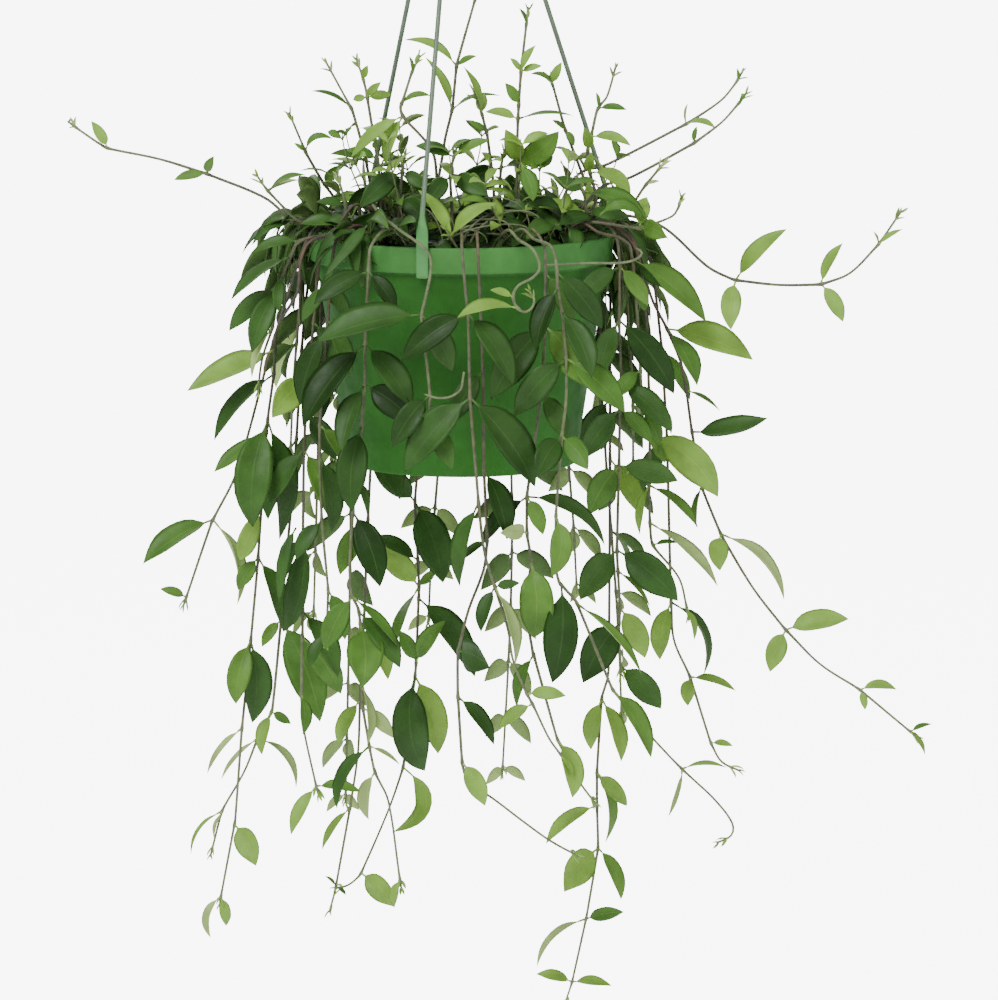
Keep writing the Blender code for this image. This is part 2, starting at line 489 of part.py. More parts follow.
def pot_profile():
    """The pot's turned outline: a tapered wall with a flat floor, and a rim turned down as a skirt."""
    base = RIM_Z - POT_HEIGHT
    floor = base + POT_WALL + 0.4 * MM
    chamfer = 1.5 * MM
    skirt_inside = RIM_RADIUS - SKIRT_WALL
    return [
        (0, base),
        (BASE_RADIUS - chamfer, base),
        (BASE_RADIUS, base + chamfer),
        (NECK_RADIUS, RIM_Z - RIM_SKIRT),
        (NECK_RADIUS, RIM_Z - POT_WALL),
        (skirt_inside, RIM_Z - POT_WALL),
        (skirt_inside, RIM_Z - RIM_SKIRT),
        (RIM_RADIUS, RIM_Z - RIM_SKIRT),
        (RIM_RADIUS, RIM_Z - chamfer / 2),
        (RIM_RADIUS - chamfer / 2, RIM_Z),
        (NECK_RADIUS - POT_WALL, RIM_Z),
        (NECK_RADIUS - POT_WALL, RIM_Z - RIM_SKIRT),
        (BASE_RADIUS - POT_WALL, floor),
        (0, floor),
    ]


def add_pot():
    """The pot, with drain holes through its floor."""
    pot = finish("pot", turned(pot_profile(), POT_SIDES).mesh("pot"), COLOURS["pot"], 0.38)
    drill = Body()
    base = RIM_Z - POT_HEIGHT
    for k in range(DRAIN_HOLES):
        centre = around(360 * (k + 0.5) / DRAIN_HOLES, DRAIN_CIRCLE, base)
        lower = drill.ring(square_ring(centre + Vector((0, 0, -2 * MM)), Vector((0, 0, 1)),
                                       Vector((1, 0, 0)), DRAIN_RADIUS, 6))
        upper = drill.ring(square_ring(centre + Vector((0, 0, 5 * MM)), Vector((0, 0, 1)),
                                       Vector((1, 0, 0)), DRAIN_RADIUS, 6))
        drill.cap(lower)
        drill.band(lower, upper)
        drill.faces.append(tuple(upper))
    combined(pot, scratch(drill), "DIFFERENCE")
    pot.data.shade_smooth()
    pot.data.set_sharp_from_angle(angle=math.radians(35))
    return pot


def add_soil(holes):
    """The soil: it fills the pot to just under the rim, with a plain hole for each stem."""
    floor = RIM_Z - POT_HEIGHT + POT_WALL + 0.4 * MM
    inside = NECK_RADIUS - POT_WALL - GAP
    profile = [
        (0, floor + GAP),
        (BASE_RADIUS - POT_WALL - GAP, floor + GAP),
        (inside, RIM_Z - RIM_SKIRT - GAP),
        (inside, RIM_Z - SOIL_DROP),
        (0, RIM_Z - SOIL_DROP),
    ]
    soil = finish("soil", turned(profile, POT_SIDES).mesh("soil"), COLOURS["soil"], 0.95)
    drill = Body()
    top = RIM_Z - SOIL_DROP
    for x, y in holes:
        corners = [(x - HOLE_HALF, y - HOLE_HALF), (x + HOLE_HALF, y - HOLE_HALF),
                   (x + HOLE_HALF, y + HOLE_HALF), (x - HOLE_HALF, y + HOLE_HALF)]
        lower = drill.ring([Vector((cx, cy, top - HOLE_DEPTH)) for cx, cy in corners])
        upper = drill.ring([Vector((cx, cy, top + 2 * MM)) for cx, cy in corners])
        drill.cap(lower)
        drill.band(lower, upper)
        drill.faces.append(tuple(upper))
    combined(soil, scratch(drill), "DIFFERENCE")
    return soil


def strand(azimuth):
    """One thin strand, taut from the hub to the top of its strap."""
    reach = RIM_RADIUS + GAP + STRAP_THICK / 2
    ends = [around(azimuth, 2.5 * MM, HUB_BOTTOM + 6 * MM), around(azimuth, reach, RIM_Z + STRAP_RISE - 3 * MM)]
    return rod(ends, STRAND_RADIUS, 6)


def strap(azimuth):
    """The flat end of a strand: it lies on the rim's outside and turns in under its skirt."""
    inner = RIM_RADIUS + GAP
    outer = inner + STRAP_THICK
    under = RIM_Z - RIM_SKIRT - GAP
    toe = NECK_RADIUS + 0.5 * MM
    outline = [
        (toe, under), (toe, under - 1.6 * MM), (outer, under - 1.6 * MM),
        (outer, RIM_Z + STRAP_RISE), (inner, RIM_Z + STRAP_RISE), (inner, under),
    ]
    body = Body()
    outward = around(azimuth, 1, 0)
    sideways = Vector((0, 0, 1)).cross(outward)
    sides = []
    for shift in (-STRAP_WIDTH / 2, STRAP_WIDTH / 2):
        sides.append(body.ring([outward * radius + sideways * shift + Vector((0, 0, height))
                                for radius, height in outline]))
    count = len(outline)
    body.faces.append(tuple(sides[0]))
    body.faces.append(tuple(reversed(sides[1])))
    for k in range(count):
        after = (k + 1) % count
        body.faces.append((sides[0][after], sides[0][k], sides[1][k], sides[1][after]))
    return body


def add_hanger():
    """The hanger: a hub with a hook above it and three strands that end in straps."""
    hub = turned([(0, HUB_BOTTOM), (HUB_RADIUS * 0.6, HUB_BOTTOM), (HUB_RADIUS, HUB_BOTTOM + 4 * MM),
                  (HUB_RADIUS, HUB_TOP - 4 * MM), (HUB_RADIUS * 0.62, HUB_TOP), (0, HUB_TOP)], 16)
    hanger = finish("hanger", hub.mesh("hanger"), COLOURS["hanger"], 0.35)
    for azimuth in STRAND_AZIMUTHS:
        combined(hanger, scratch(strand(azimuth)), "UNION")
        combined(hanger, scratch(strap(azimuth)), "UNION")
    bend = HOOK_INSIDE + HOOK_ROD
    centre = Vector((0, 0, -HOOK_INSIDE))
    shank = [Vector((0, 0, HUB_TOP - 3 * MM)), Vector((1 * MM, 0, HUB_TOP + 1.5 * MM)),
             Vector((8 * MM, 0, HUB_TOP + 6.5 * MM)), Vector((12.6 * MM, 0, HUB_TOP + 12 * MM))]
    arc = []
    for k in range(10):
        turn = math.radians(200 * k / 9)
        arc.append(centre + Vector((math.cos(turn), 0, math.sin(turn))) * bend)
    tip = [centre + Vector((-bend - 1 * MM, 0, -9 * MM))]
    combined(hanger, scratch(rod(shank + arc + tip, HOOK_ROD, 8)), "UNION")
    return hanger


class Crowd:
    """What is already in place, so that the next stem or leaf can be set clear of it."""

    def __init__(self):
        self.items = []

    def add(self, owner, body):
        low, high = extent(body.corners)
        self.items.append((owner, low, high, BVHTree.FromPolygons(body.corners, body.faces)))

    def hits(self, body, owner=None, own=False):
        """How many placed items a body runs into: others' (own False) or the owner's own."""
        low, high = extent(body.corners)
        tree = None
        count = 0
        for other, other_low, other_high, other_tree in self.items:
            if (other == owner) != own:
                continue
            if any(low[k] > other_high[k] or high[k] < other_low[k] for k in range(3)):
                continue
            tree = tree or BVHTree.FromPolygons(body.corners, body.faces)
            if tree.overlap(other_tree):
                count += 1
        return count


def extent(corners):
    """The lowest and highest corner of the box round some places."""
    low = [min(place[k] for place in corners) for k in range(3)]
    high = [max(place[k] for place in corners) for k in range(3)]
    return low, high


def smooth_line(points, step=1.2 * MM):
    """A smooth curve through points, as places about a step apart. The first stretch, which
    stands in the soil, stays straight."""
    count = len(points)
    tangents = []
    for k in range(count):
        ahead = points[min(k + 1, count - 1)]
        behind = points[max(k - 1, 0)]
        tangents.append((ahead - behind).normalized())
    tangents[1] = tangents[0]
    line = []
    for k in range(count - 1):
        length = (points[k + 1] - points[k]).length
        first = points[k] + tangents[k] * (length / 3)
        second = points[k + 1] - tangents[k + 1] * (length / 3)
        steps = max(2, math.ceil(length / step)) + 1
        piece = interpolate_bezier(points[k], first, second, points[k + 1], steps)
        line.extend(piece if k == 0 else piece[1:])
    return line


class Line:
    """A stem's centre line, read by the distance along it."""

    def __init__(self, places):
        self.places = places
        self.distances = [0.0]
        for behind, ahead in zip(places, places[1:]):
            self.distances.append(self.distances[-1] + (ahead - behind).length)
        self.length = self.distances[-1]

    def at(self, distance):
        """The place and the direction at a distance along the line."""
        distance = min(max(distance, 0), self.length)
        k = 0
        step = len(self.places) - 2
        while k < step and self.distances[k + 1] < distance:
            k += 1
        span = self.distances[k + 1] - self.distances[k]
        part = (distance - self.distances[k]) / span
        direction = (self.places[k + 1] - self.places[k]).normalized()
        return self.places[k].lerp(self.places[k + 1], part), direction

    def nearest_to_pixel(self, u, v):
        """The distance along the line of the place seen nearest to a pixel."""
        best = 0
        best_miss = 1e9
        for place, distance in zip(self.places, self.distances):
            pu, pv = to_photo(place)
            miss = (pu - u) ** 2 + (pv - v) ** 2
            if miss < best_miss:
                best = distance
                best_miss = miss
        return best

    def bends(self, first, last):
        """Distances between two others where the line needs a ring to keep its shape."""
        places = [(d, p) for d, p in zip(self.distances, self.places) if first < d < last]
        start, _ = self.at(first)
        end, _ = self.at(last)
        if not places:
            return []
        chord = end - start
        worst = 0
        worst_distance = None
        for distance, place in places:
            part = (place - start).dot(chord) / chord.length_squared
            miss = (place - start - chord * part).length
            if miss > worst:
                worst = miss
                worst_distance = distance
        if worst < BEND_TOLERANCE:
            return []
        return self.bends(first, worst_distance) + [worst_distance] + self.bends(worst_distance, last)


def soil_spots():
    """Places for roots in the soil, a hexagon pattern inside the rim."""
    spots = []
    row_height = HOLE_SPACING * math.sqrt(3) / 2
    rows = int(HOLE_REACH / row_height)
    for row in range(-rows, rows + 1):
        for column in range(-rows - 1, rows + 2):
            x = (column + 0.5 * (row % 2)) * HOLE_SPACING
            y = row * row_height
            if math.hypot(x, y) < HOLE_REACH:
                spots.append((x, y))
    return spots


def root_and_arch(first, spot, rise):
    """The stem from its hole in the soil to where it first shows, over the rim if it hangs."""
    x, y = spot
    soil_top = RIM_Z - SOIL_DROP
    points = [Vector((x, y, soil_top - ROOT_DEPTH)), Vector((x, y, soil_top + 1.5 * MM))]
    reach = math.hypot(first.x, first.y)
    if reach > RIM_RADIUS + 3 * MM:
        outward = Vector((first.x, first.y, 0)) / reach
        crossing = outward * (RIM_RADIUS + 5.5 * MM)
        over = Vector((x, y, 0)).lerp(crossing, 0.6)
        over.z = RIM_Z + rise
        points.append(over)
        if first.z < RIM_Z + 5 * MM:
            crossing.z = RIM_Z + min(rise, 6 * MM) * 0.8
            if (crossing - first).length > 4 * MM:
                points.append(crossing)
    return points


def trail_points(side, radius, shift, path):
    """A trailing stem's places, at its hanging radius round the pot's axis."""
    points = []
    for step in path:
        if len(step) == 3:
            points.append(from_photo(step[0], step[1], step[2] * MM))
            continue
        x = (step[0] - AXIS_PIXEL) * PIXEL
        depth = side * math.sqrt(max(radius * radius - x * x, 0)) + shift
        points.append(from_photo(step[0], step[1], depth))
    return points


def shoot_points(start, end, path):
    """An upright shoot's or a runner's places, from its depth at the soil to its tip's."""
    count = len(path) - 1
    return [from_photo(u, v, start + (end - start) * k / count) for k, (u, v) in enumerate(path)]


def far_points(azimuth, length, draw):
    """A stem grown by rule down the far side, swaying a little as it hangs."""
    steps = max(3, round(length / (35 * MM)))
    sway = draw.uniform(-5, 5)
    points = []
    for k in range(steps + 1):
        part = k / steps
        turn = azimuth + sway * math.sin(part * 4 + azimuth)
        points.append(around(turn, FAR_RADIUS + 7 * MM * part, RIM_Z - 2 * MM - length * part))
    return points


class Stem:
    """One leafy stem: its centre line, the way it faces, its joints and its leaves."""

    def __init__(self, name, line, facing):
        self.name = name
        self.line = line
        self.facing = facing
        self.joints = []
        self.leaves = []

    def radius(self, distance):
        return STEM_START + (STEM_END - STEM_START) * distance / self.line.length

    def set_joints(self, wishes):
        """Puts joints where the leaves are wished and returns each leaf's joint."""
        spots, chosen = joint_distances(self, wishes)
        joints = {spot: Joint(self, spot) for spot in spots}
        self.joints = [joints[spot] for spot in spots]
        return [joints[chosen[k]] for k in range(len(wishes))]

    def solid(self, with_leaves=True, grow=0.0):
        """The stem, and its leaves, as one closed solid. grow makes it thicker all over."""
        taken = {}
        for leaf in self.leaves if with_leaves else []:
            taken.setdefault(leaf.joint, []).append(leaf)
        neck = ROOT_DEPTH + 1.5 * MM
        stops = [(neck, None)]
        previous_end = neck
        for joint in self.joints:
            begin = joint.distance - JOINT_LENGTH / 2
            stops.extend((d, None) for d in self.line.bends(previous_end, begin))
            stops.append((begin, joint))
            previous_end = joint.distance + JOINT_LENGTH / 2
        stops.extend((d, None) for d in self.line.bends(previous_end, self.line.length))
        body = Body()
        place, along = self.line.at(0)
        across = Vector((1, 0, 0))
        previous = body.ring(square_ring(place, Vector((0, 0, 1)), across, self.radius(0) + grow))
        body.cap(previous)
        for distance, joint in stops:
            if joint is None:
                place, _ = self.line.at(distance)
                _, before = self.line.at(distance - 1 * MM)
                _, after = self.line.at(distance + 1 * MM)
                along = (before + after).normalized()
                across = body.corners[previous[0]] - body.corners[previous[2]]
                if abs(across.normalized().dot(along)) > 0.9:
                    across = body.corners[previous[1]] - body.corners[previous[3]]
                ring = body.ring(square_ring(place, along, across, self.radius(distance) + grow))
                body.band(matched(body, previous, ring), ring)
                previous = ring
                continue
            lower, upper = [body.ring(ring) for ring in joint.grown(grow)]
            body.band(matched(body, previous, lower), lower)
            leaves = taken.get(joint, [])
            body.band(lower, upper, skip=[leaf.quad for leaf in leaves])
            for leaf in leaves:
                k = leaf.quad
                after = (k + 1) % 4
                leaf.grow_on(body, [lower[k], lower[after], upper[after], upper[k]])
            previous = upper
        end, along = self.line.at(self.line.length)
        body.point(previous, end + along * 1.5 * MM)
        return body


def matched(body, ring, target):
    """The ring's corners in the order that twists least on the way to another ring."""
    count = len(ring)
    best = min(range(count), key=lambda shift: sum(
        (body.corners[ring[(k + shift) % count]] - body.corners[target[k]]).length for k in range(count)))
    return [ring[(k + best) % count] for k in range(count)]


def place_stem(name, make_points, make_wishes, facing, crowd, spots, variations):
    """Lays a stem the first way that clears what is in place. Its root takes a free spot near
    the nearest. Returns the stem, its spot and the joint of each leaf."""
    best = None
    for step in variations:
        points = make_points(step)
        wish = points[0]
        reach = math.hypot(wish.x, wish.y)
        scale = min(1, 50 * MM / reach) if reach > 0 else 1
        ranked = sorted(spots, key=lambda s: math.hypot(s[0] - wish.x * scale, s[1] - wish.y * scale))
        for spot in ranked[:4]:
            for rise in (8 * MM, 13 * MM, 18 * MM):
                stem = Stem(name, Line(smooth_line(root_and_arch(points[0], spot, rise) + points)), facing)
                joints = stem.set_joints(make_wishes(stem))
                shell = stem.solid(False, CLEARANCE)
                hits = crowd.hits(shell)
                if best is None or hits < best[0]:
                    best = (hits, stem, spot, joints)
                if hits == 0:
                    break
            if best[0] == 0:
                break
        if best[0] == 0:
            break
    hits, stem, spot, joints = best
    if hits:
        print("no clear way for", name, hits)
    spots.remove(spot)
    crowd.add(name, stem.solid(False))
    return stem, spot, joints


def bezier(first, middle, last, part):
    """The place and direction on a leaf's rib."""
    place = first * (1 - part) ** 2 + middle * (2 * part * (1 - part)) + last * part ** 2
    direction = (middle - first) * (1 - part) + (last - middle) * part
    return place, direction.normalized()


class Leaf:
    """A leaf on its curved rib: it starts on the stem's centre line and ends at its tip."""

    def __init__(self, base, middle, tip, face, width, age):
        self.base = base
        self.middle = middle
        self.tip = tip
        self.face = face
        self.width = width
        self.age = age
        self.length = (tip - base).length
        self.joint = None
        self.quad = None

    def section(self, part, width_part, grow=0.0):
        """Four corners of a cross-section: edge, upper side, edge, underside."""
        centre, along = bezier(self.base, self.middle, self.tip, part)
        normal = (self.face - along * self.face.dot(along)).normalized()
        sideways = normal.cross(along)
        half = self.width * width_part / 2 + grow
        thick = LEAF_THICK * (1 if self.length > SMALL_LEAF else 0.75) / 2 + grow
        fold = normal * (self.width * width_part * LEAF_FOLD)
        return [centre + sideways * half + fold, centre + normal * thick,
                centre - sideways * half + fold, centre - normal * thick]

    def sections(self):
        return LARGE_SECTIONS if self.length > SMALL_LEAF else SMALL_SECTIONS

    def shell(self, start, grow):
        """A closed shape round the leaf from a part of its length on, for finding room."""
        body = Body()
        root, _ = bezier(self.base, self.middle, self.tip, start)
        rings = [body.ring(self.section(part, width, grow)) for part, width in self.sections()]
        low = len(body.corners)
        body.corners.append(root)
        for k in range(4):
            body.faces.append((rings[0][(k + 1) % 4], rings[0][k], low))
        for lower, upper in zip(rings, rings[1:]):
            body.band(lower, upper)
        end, along = bezier(self.base, self.middle, self.tip, 1)
        body.point(rings[-1], end + along * grow)
        return body

    def grow_on(self, body, quad):
        """Continues a side face of the stem, given by its corners, as this leaf."""
        rings = [body.ring(self.section(part, width)) for part, width in self.sections()]
        start = matched(body, quad, rings[0])
        for k in range(4):
            after = (k + 1) % 4
            a, b, c, d = start[k], start[after], rings[0][after], rings[0][k]
            if (body.corners[a] - body.corners[c]).length < (body.corners[b] - body.corners[d]).length:
                body.faces.extend([(a, b, c), (a, c, d)])
            else:
                body.faces.extend([(a, b, d), (b, c, d)])
        for lower, upper in zip(rings, rings[1:]):
            for k in range(4):
                after = (k + 1) % 4
                a, b, c, d = lower[k], lower[after], upper[after], upper[k]
                if k % 2 == 0:
                    body.faces.extend([(a, b, c), (a, c, d)])
                else:
                    body.faces.extend([(a, b, d), (b, c, d)])
        body.point(rings[-1], self.tip)


class Joint:
    """A swollen stretch of stem whose four side faces can each carry a leaf."""

    def __init__(self, stem, distance):
        self.distance = distance
        self.place, along = stem.line.at(distance)
        self.along = along
        sideways = along.cross(stem.facing)
        if sideways.length < 0.3:
            sideways = along.cross(Vector((0, 0, 1)))
        sideways.normalize()
        self.across = (sideways + sideways.cross(along)).normalized()
        self.rings = []
        for shift in (-JOINT_LENGTH / 2, JOINT_LENGTH / 2):
            place, _ = stem.line.at(distance + shift)
            self.rings.append(square_ring(place, along, self.across, stem.radius(distance) * JOINT_SWELL))
        self.radius = stem.radius(distance) * JOINT_SWELL
        self.free = [0, 1, 2, 3]

    def grown(self, grow):
        """The joint's two rings, thicker by grow."""
        grown = []
        for ring in self.rings:
            centre = (ring[0] + ring[2]) / 2
            grown.append([centre + (corner - centre) * (1 + grow / self.radius) for corner in ring])
        return grown

    def corners(self, k):
        """The four corners of side face k, seen from outside in right-handed order."""
        after = (k + 1) % 4
        return [self.rings[0][k], self.rings[0][after], self.rings[1][after], self.rings[1][k]]

    def outward(self, k):
        middle = (self.rings[0][k] + self.rings[0][(k + 1) % 4]) / 2 - self.rings[0][(k + 2) % 4] / 2
        away = middle - self.rings[0][(k + 3) % 4] / 2
        return away.normalized()


def pixel_leaf(stem, base, spec, facing, away, lift, turn, shrink):
    """A leaf whose tip and width are those seen in the picture. away is how far its tip comes
    forward, lift how far its rib does, as parts of its length, and turn rolls its blade."""
    u, v, seen_width, age = spec[2:6]
    arch = spec[6] if len(spec) > 6 else 0.12
    flat_tip = from_photo(u, v, base.y)
    seen = flat_tip - base
    seen_length = seen.length
    width = seen_width * PIXEL
    if width > 0.46 * seen_length:
        true_length = min(width / 0.44, seen_length + 22 * MM)
        forward = math.sqrt(max(true_length ** 2 - seen_length ** 2, 0)) * (1 if away >= 0 else -1)
        roll = 0
    else:
        forward = away * seen_length
        full = min(max(width, LEAF_RATIO * seen_length), 19 * MM)
        roll = math.acos(min(1, width / full))
        width = full
    tip = from_photo(u, v, base.y + stem.facing.y * forward) if abs(stem.facing.y) > 0.5 else flat_tip
    along = seen.normalized()
    side = Vector((-along.z, 0, along.x)) * (1 if seen.x >= 0 else -1)
    rib = tip - base
    if shrink < 1:
        tip = base + rib * shrink
        width *= shrink
        rib = tip - base
    middle = (base + tip) / 2 + side * (arch * rib.length) + facing * (lift * rib.length)
    face = facing * math.cos(roll + turn) + side * math.sin(roll + turn)
    return Leaf(base, middle, tip, face, width, age)


def rule_leaf(stem, base, spec, facing, away, lift, turn, shrink):
    """A leaf grown by rule: spec holds its direction, length and age."""
    direction, length, age = spec
    length = length * shrink
    sideways = direction.cross(facing).normalized()
    rib = (direction + facing * (away * 0.5)).normalized() * length
    tip = base + rib
    bow = (facing + Vector((0, 0, 0.5))).normalized()
    middle = (base + tip) / 2 + bow * ((0.1 + lift) * length * 0.7)
    face = facing * math.cos(turn) + sideways * math.sin(turn)
    return Leaf(base, middle, tip, face, length * LEAF_RATIO, age)


AWAYS = (0.25, 0.5, 0.0, -0.25, 0.75, -0.5)
LIFTS = (0.1, 0.28, 0.46)
TURNS = (0, 0.45, -0.45, 0.9, -0.9)


def place_leaf(stem, joint, spec, maker, crowd, draw):
    """Sets a leaf on a free side of its joint, the first way that clears what is in place."""
    aways = list(AWAYS)
    if draw.random() < 0.5:
        aways[0], aways[2] = aways[2], aways[0]
    for shrink in (1, 0.85, 0.7):
        for turn in TURNS:
            for away in aways:
                for lift in LIFTS:
                    leaf = maker(stem, joint.place, spec, stem.facing, away, lift, turn, shrink)
                    if settle(stem, joint, leaf, crowd):
                        return leaf
    return None


def settle(stem, joint, leaf, crowd):
    """Takes a leaf if some free side of the joint can carry it and nothing is in its way."""
    start = (leaf.middle - leaf.base).normalized()
    ranked = sorted(joint.free, key=lambda k: -joint.outward(k).dot(start))
    part, width = leaf.sections()[0]
    first = leaf.section(part, width)
    fits = []
    for k in ranked[:2]:
        outward = joint.outward(k)
        level = outward.dot(joint.corners(k)[0]) + 0.25 * MM
        if all(outward.dot(corner) > level for corner in first):
            fits.append(k)
    if not fits:
        return False
    if crowd.hits(leaf.shell(0, CLEARANCE), stem.name):
        return False
    if crowd.hits(leaf.shell(0.14, 0.25 * MM), stem.name, own=True):
        return False
    for k in fits:
        grown = Body()
        leaf.grow_on(grown, grown.ring(joint.corners(k)))
        if crosses(grown, grown) or crowd.hits(grown, stem.name):
            continue
        leaf.joint = joint
        leaf.quad = k
        stem.leaves.append(leaf)
        if crosses(grown, stem.solid()):
            stem.leaves.pop()
            continue
        joint.free.remove(k)
        crowd.add(stem.name, grown)
        return True
    return False


def crosses(some, others):
    """Whether faces of two shapes cross that don't meet at a shared corner."""
    first = BVHTree.FromPolygons(some.corners, some.faces)
    second = BVHTree.FromPolygons(others.corners, others.faces)
    for one, other in first.overlap(second):
        places = [others.corners[k] for k in others.faces[other]]
        if not any((some.corners[k] - place).length < 0.001 * MM for k in some.faces[one] for place in places):
            return True
    return False


def joint_distances(stem, wishes):
    """Where the joints go: leaves whose places are close share one, and joints keep apart."""
    order = sorted(range(len(wishes)), key=lambda k: wishes[k])
    spots = []
    chosen = {}
    limit = stem.line.length - JOINT_LENGTH
    for k in order:
        wish = min(max(wishes[k], ROOT_DEPTH + JOINT_LENGTH + 2 * MM), limit)
        if spots and wish - spots[-1] < JOINT_SPACING * 0.75 and list(chosen.values()).count(spots[-1]) < 3:
            chosen[k] = spots[-1]
            continue
        if spots and wish - spots[-1] < JOINT_SPACING:
            wish = spots[-1] + JOINT_SPACING
        if wish > limit and spots:
            chosen[k] = spots[-1]
            continue
        spots.append(wish)
        chosen[k] = wish
    return spots, chosen


def dress(stem, specs, joints, maker, crowd, seed):
    """Gives a stem its leaves, the longest first. Returns those that found no room."""
    draw = random.Random(seed)
    missing = []
    order = sorted(range(len(specs)), key=lambda k: -leaf_size(specs[k], stem))
    for k in order:
        if place_leaf(stem, joints[k], specs[k], maker, crowd, draw) is None:
            missing.append((stem.name, specs[k]))
    return missing


def leaf_size(spec, stem):
    """How long a leaf is, by what its spec says."""
    if len(spec) == 3:
        return spec[1] / PIXEL
    return max(math.hypot(spec[2] - spec[0], spec[3] - spec[1]), 2 * spec[4])


def far_leaves(stem, azimuth, draw):
    """Opposite leaves for a stem of the far side, large at the rim and smaller to the tip."""
    specs = []
    wishes = []
    start = 34 * MM
    reach = stem.line.length - start
    count = max(2, round(reach / FAR_NODE_SPACING))
    outward = around(azimuth, 1, 0)
    tangent = outward.cross(Vector((0, 0, 1)))
    for k in range(count + 1):
        part = k / count
        distance = start + (reach - 3 * MM) * part
        length = FAR_LEAF * (1 - 0.62 * part ** 1.6) * draw.uniform(0.85, 1.1)
        age = DARK if part < 0.55 else MID if part < 0.8 else BRIGHT
        for side in (-1, 1):
            if draw.random() < 0.12:
                continue
            splay = draw.uniform(0.45, 0.95)
            direction = tangent * (side * splay) + outward * draw.uniform(0.1, 0.6)
            direction = (direction + Vector((0, 0, -draw.uniform(0.5, 1.1)))).normalized()
            specs.append((direction, length, age))
            wishes.append(distance)
    return specs, wishes


def grow_plant(crowd):
    """Every stem with its leaves, and the holes they stand in."""
    spots = soil_spots()
    holes = []
    grown = []
    toward_eye = Vector((0, -1, 0))
    steps = [0, 3, 6, -3, 9, 12, -6, 15, 18]

    def traced(leaves):
        return lambda stem: [stem.line.nearest_to_pixel(spec[0], spec[1]) for spec in leaves]

    for name, side, radius, shift, path, leaves in TRAILS:
        def places(step, side=side, radius=radius, shift=shift, path=path):
            return trail_points(side, (radius + step) * MM, (shift + side * step * 0.5) * MM, path)
        stem, spot, joints = place_stem(name, places, traced(leaves), toward_eye, crowd, spots, steps)
        holes.append(spot)
        grown.append((stem, leaves, joints, pixel_leaf))
    for name, start, end, path, leaves in SHOOTS:
        def places(step, start=start, end=end, path=path):
            return shoot_points((start + step) * MM, (end + step) * MM, path)
        stem, spot, joints = place_stem(name, places, traced(leaves), toward_eye, crowd, spots, steps)
        holes.append(spot)
        grown.append((stem, leaves, joints, pixel_leaf))
    for number, (azimuth, length) in enumerate(FAR_STEMS, 1):
        def places(step, azimuth=azimuth, length=length, number=number):
            return far_points(azimuth + step * 0.7, length * MM, random.Random(number))

        def wishes(stem, azimuth=azimuth, number=number):
            return far_leaves(stem, azimuth, random.Random(900 + number))[1]
        name = f"far_trail_{number:02d}"
        stem, spot, joints = place_stem(name, places, wishes, around(azimuth, 1, 0), crowd, spots, steps)
        holes.append(spot)
        leaves = far_leaves(stem, azimuth, random.Random(900 + number))[0]
        grown.append((stem, leaves, joints, rule_leaf))
    ground = turned([(0, RIM_Z - SOIL_DROP - 5 * MM), (NECK_RADIUS, RIM_Z - SOIL_DROP - 5 * MM),
                     (NECK_RADIUS, RIM_Z - SOIL_DROP), (0, RIM_Z - SOIL_DROP)], 12)
    crowd.add("soil", ground)
    missing = []
    for number, (stem, leaves, joints, maker) in enumerate(grown):
        missing.extend(dress(stem, leaves, joints, maker, crowd, number))
    stems = [stem for stem, _, _, _ in grown]
    for name, spec in missing:
        print("no room for a leaf of", name, spec)
    print("stems", len(stems), "leaves", sum(len(stem.leaves) for stem in stems), "left out", len(missing))
    return stems, holes


def stem_colour(stem):
    """The mean of its leaves' colours."""
    ages = [leaf.age for leaf in stem.leaves] or [MID]
    return tuple(sum(COLOURS[age][k] for age in ages) / len(ages) for k in range(3))


def build():
    clear_scene()
    crowd = Crowd()
    crowd.add("pot", turned(pot_profile(), POT_SIDES))
    for azimuth in STRAND_AZIMUTHS:
        crowd.add("hanger", strand(azimuth))
        crowd.add("hanger", strap(azimuth))
    stems, holes = grow_plant(crowd)
    add_pot()
    add_hanger()
    add_soil(holes)
    for stem in stems:
        finish(stem.name, stem.solid().mesh(stem.name), stem_colour(stem), 0.45)


build()
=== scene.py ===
# %% [markdown]
# # A codonanthe in its hanging pot
#
# A codonanthe trails from a green plastic pot that hangs on three thin strands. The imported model
# already holds every piece as a plain solid of the right size, in the right place. This script
# keeps those places and gives each piece the surface that the real one has: round stems with
# smooth, waxy leaves, moulded plastic, moist potting soil, and soft light from above.

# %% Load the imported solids
import math
import random
from dataclasses import dataclass

import bmesh
import bpy
from mathutils import Matrix, Vector, noise
from mathutils.geometry import interpolate_bezier


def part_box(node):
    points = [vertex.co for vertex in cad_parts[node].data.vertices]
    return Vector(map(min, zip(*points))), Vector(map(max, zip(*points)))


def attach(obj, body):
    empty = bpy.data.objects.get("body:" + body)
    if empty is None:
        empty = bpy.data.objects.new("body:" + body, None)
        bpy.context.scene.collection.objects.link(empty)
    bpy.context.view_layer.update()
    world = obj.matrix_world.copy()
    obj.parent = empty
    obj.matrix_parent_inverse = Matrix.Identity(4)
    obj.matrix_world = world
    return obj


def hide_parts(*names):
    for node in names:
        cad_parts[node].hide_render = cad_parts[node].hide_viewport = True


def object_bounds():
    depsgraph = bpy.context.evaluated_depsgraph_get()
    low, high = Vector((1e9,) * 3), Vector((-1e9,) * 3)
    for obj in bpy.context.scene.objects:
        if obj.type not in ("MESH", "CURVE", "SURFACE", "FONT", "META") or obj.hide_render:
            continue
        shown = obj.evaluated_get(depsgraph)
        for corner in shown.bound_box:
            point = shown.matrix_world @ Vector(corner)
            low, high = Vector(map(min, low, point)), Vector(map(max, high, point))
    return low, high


MM = 0.001
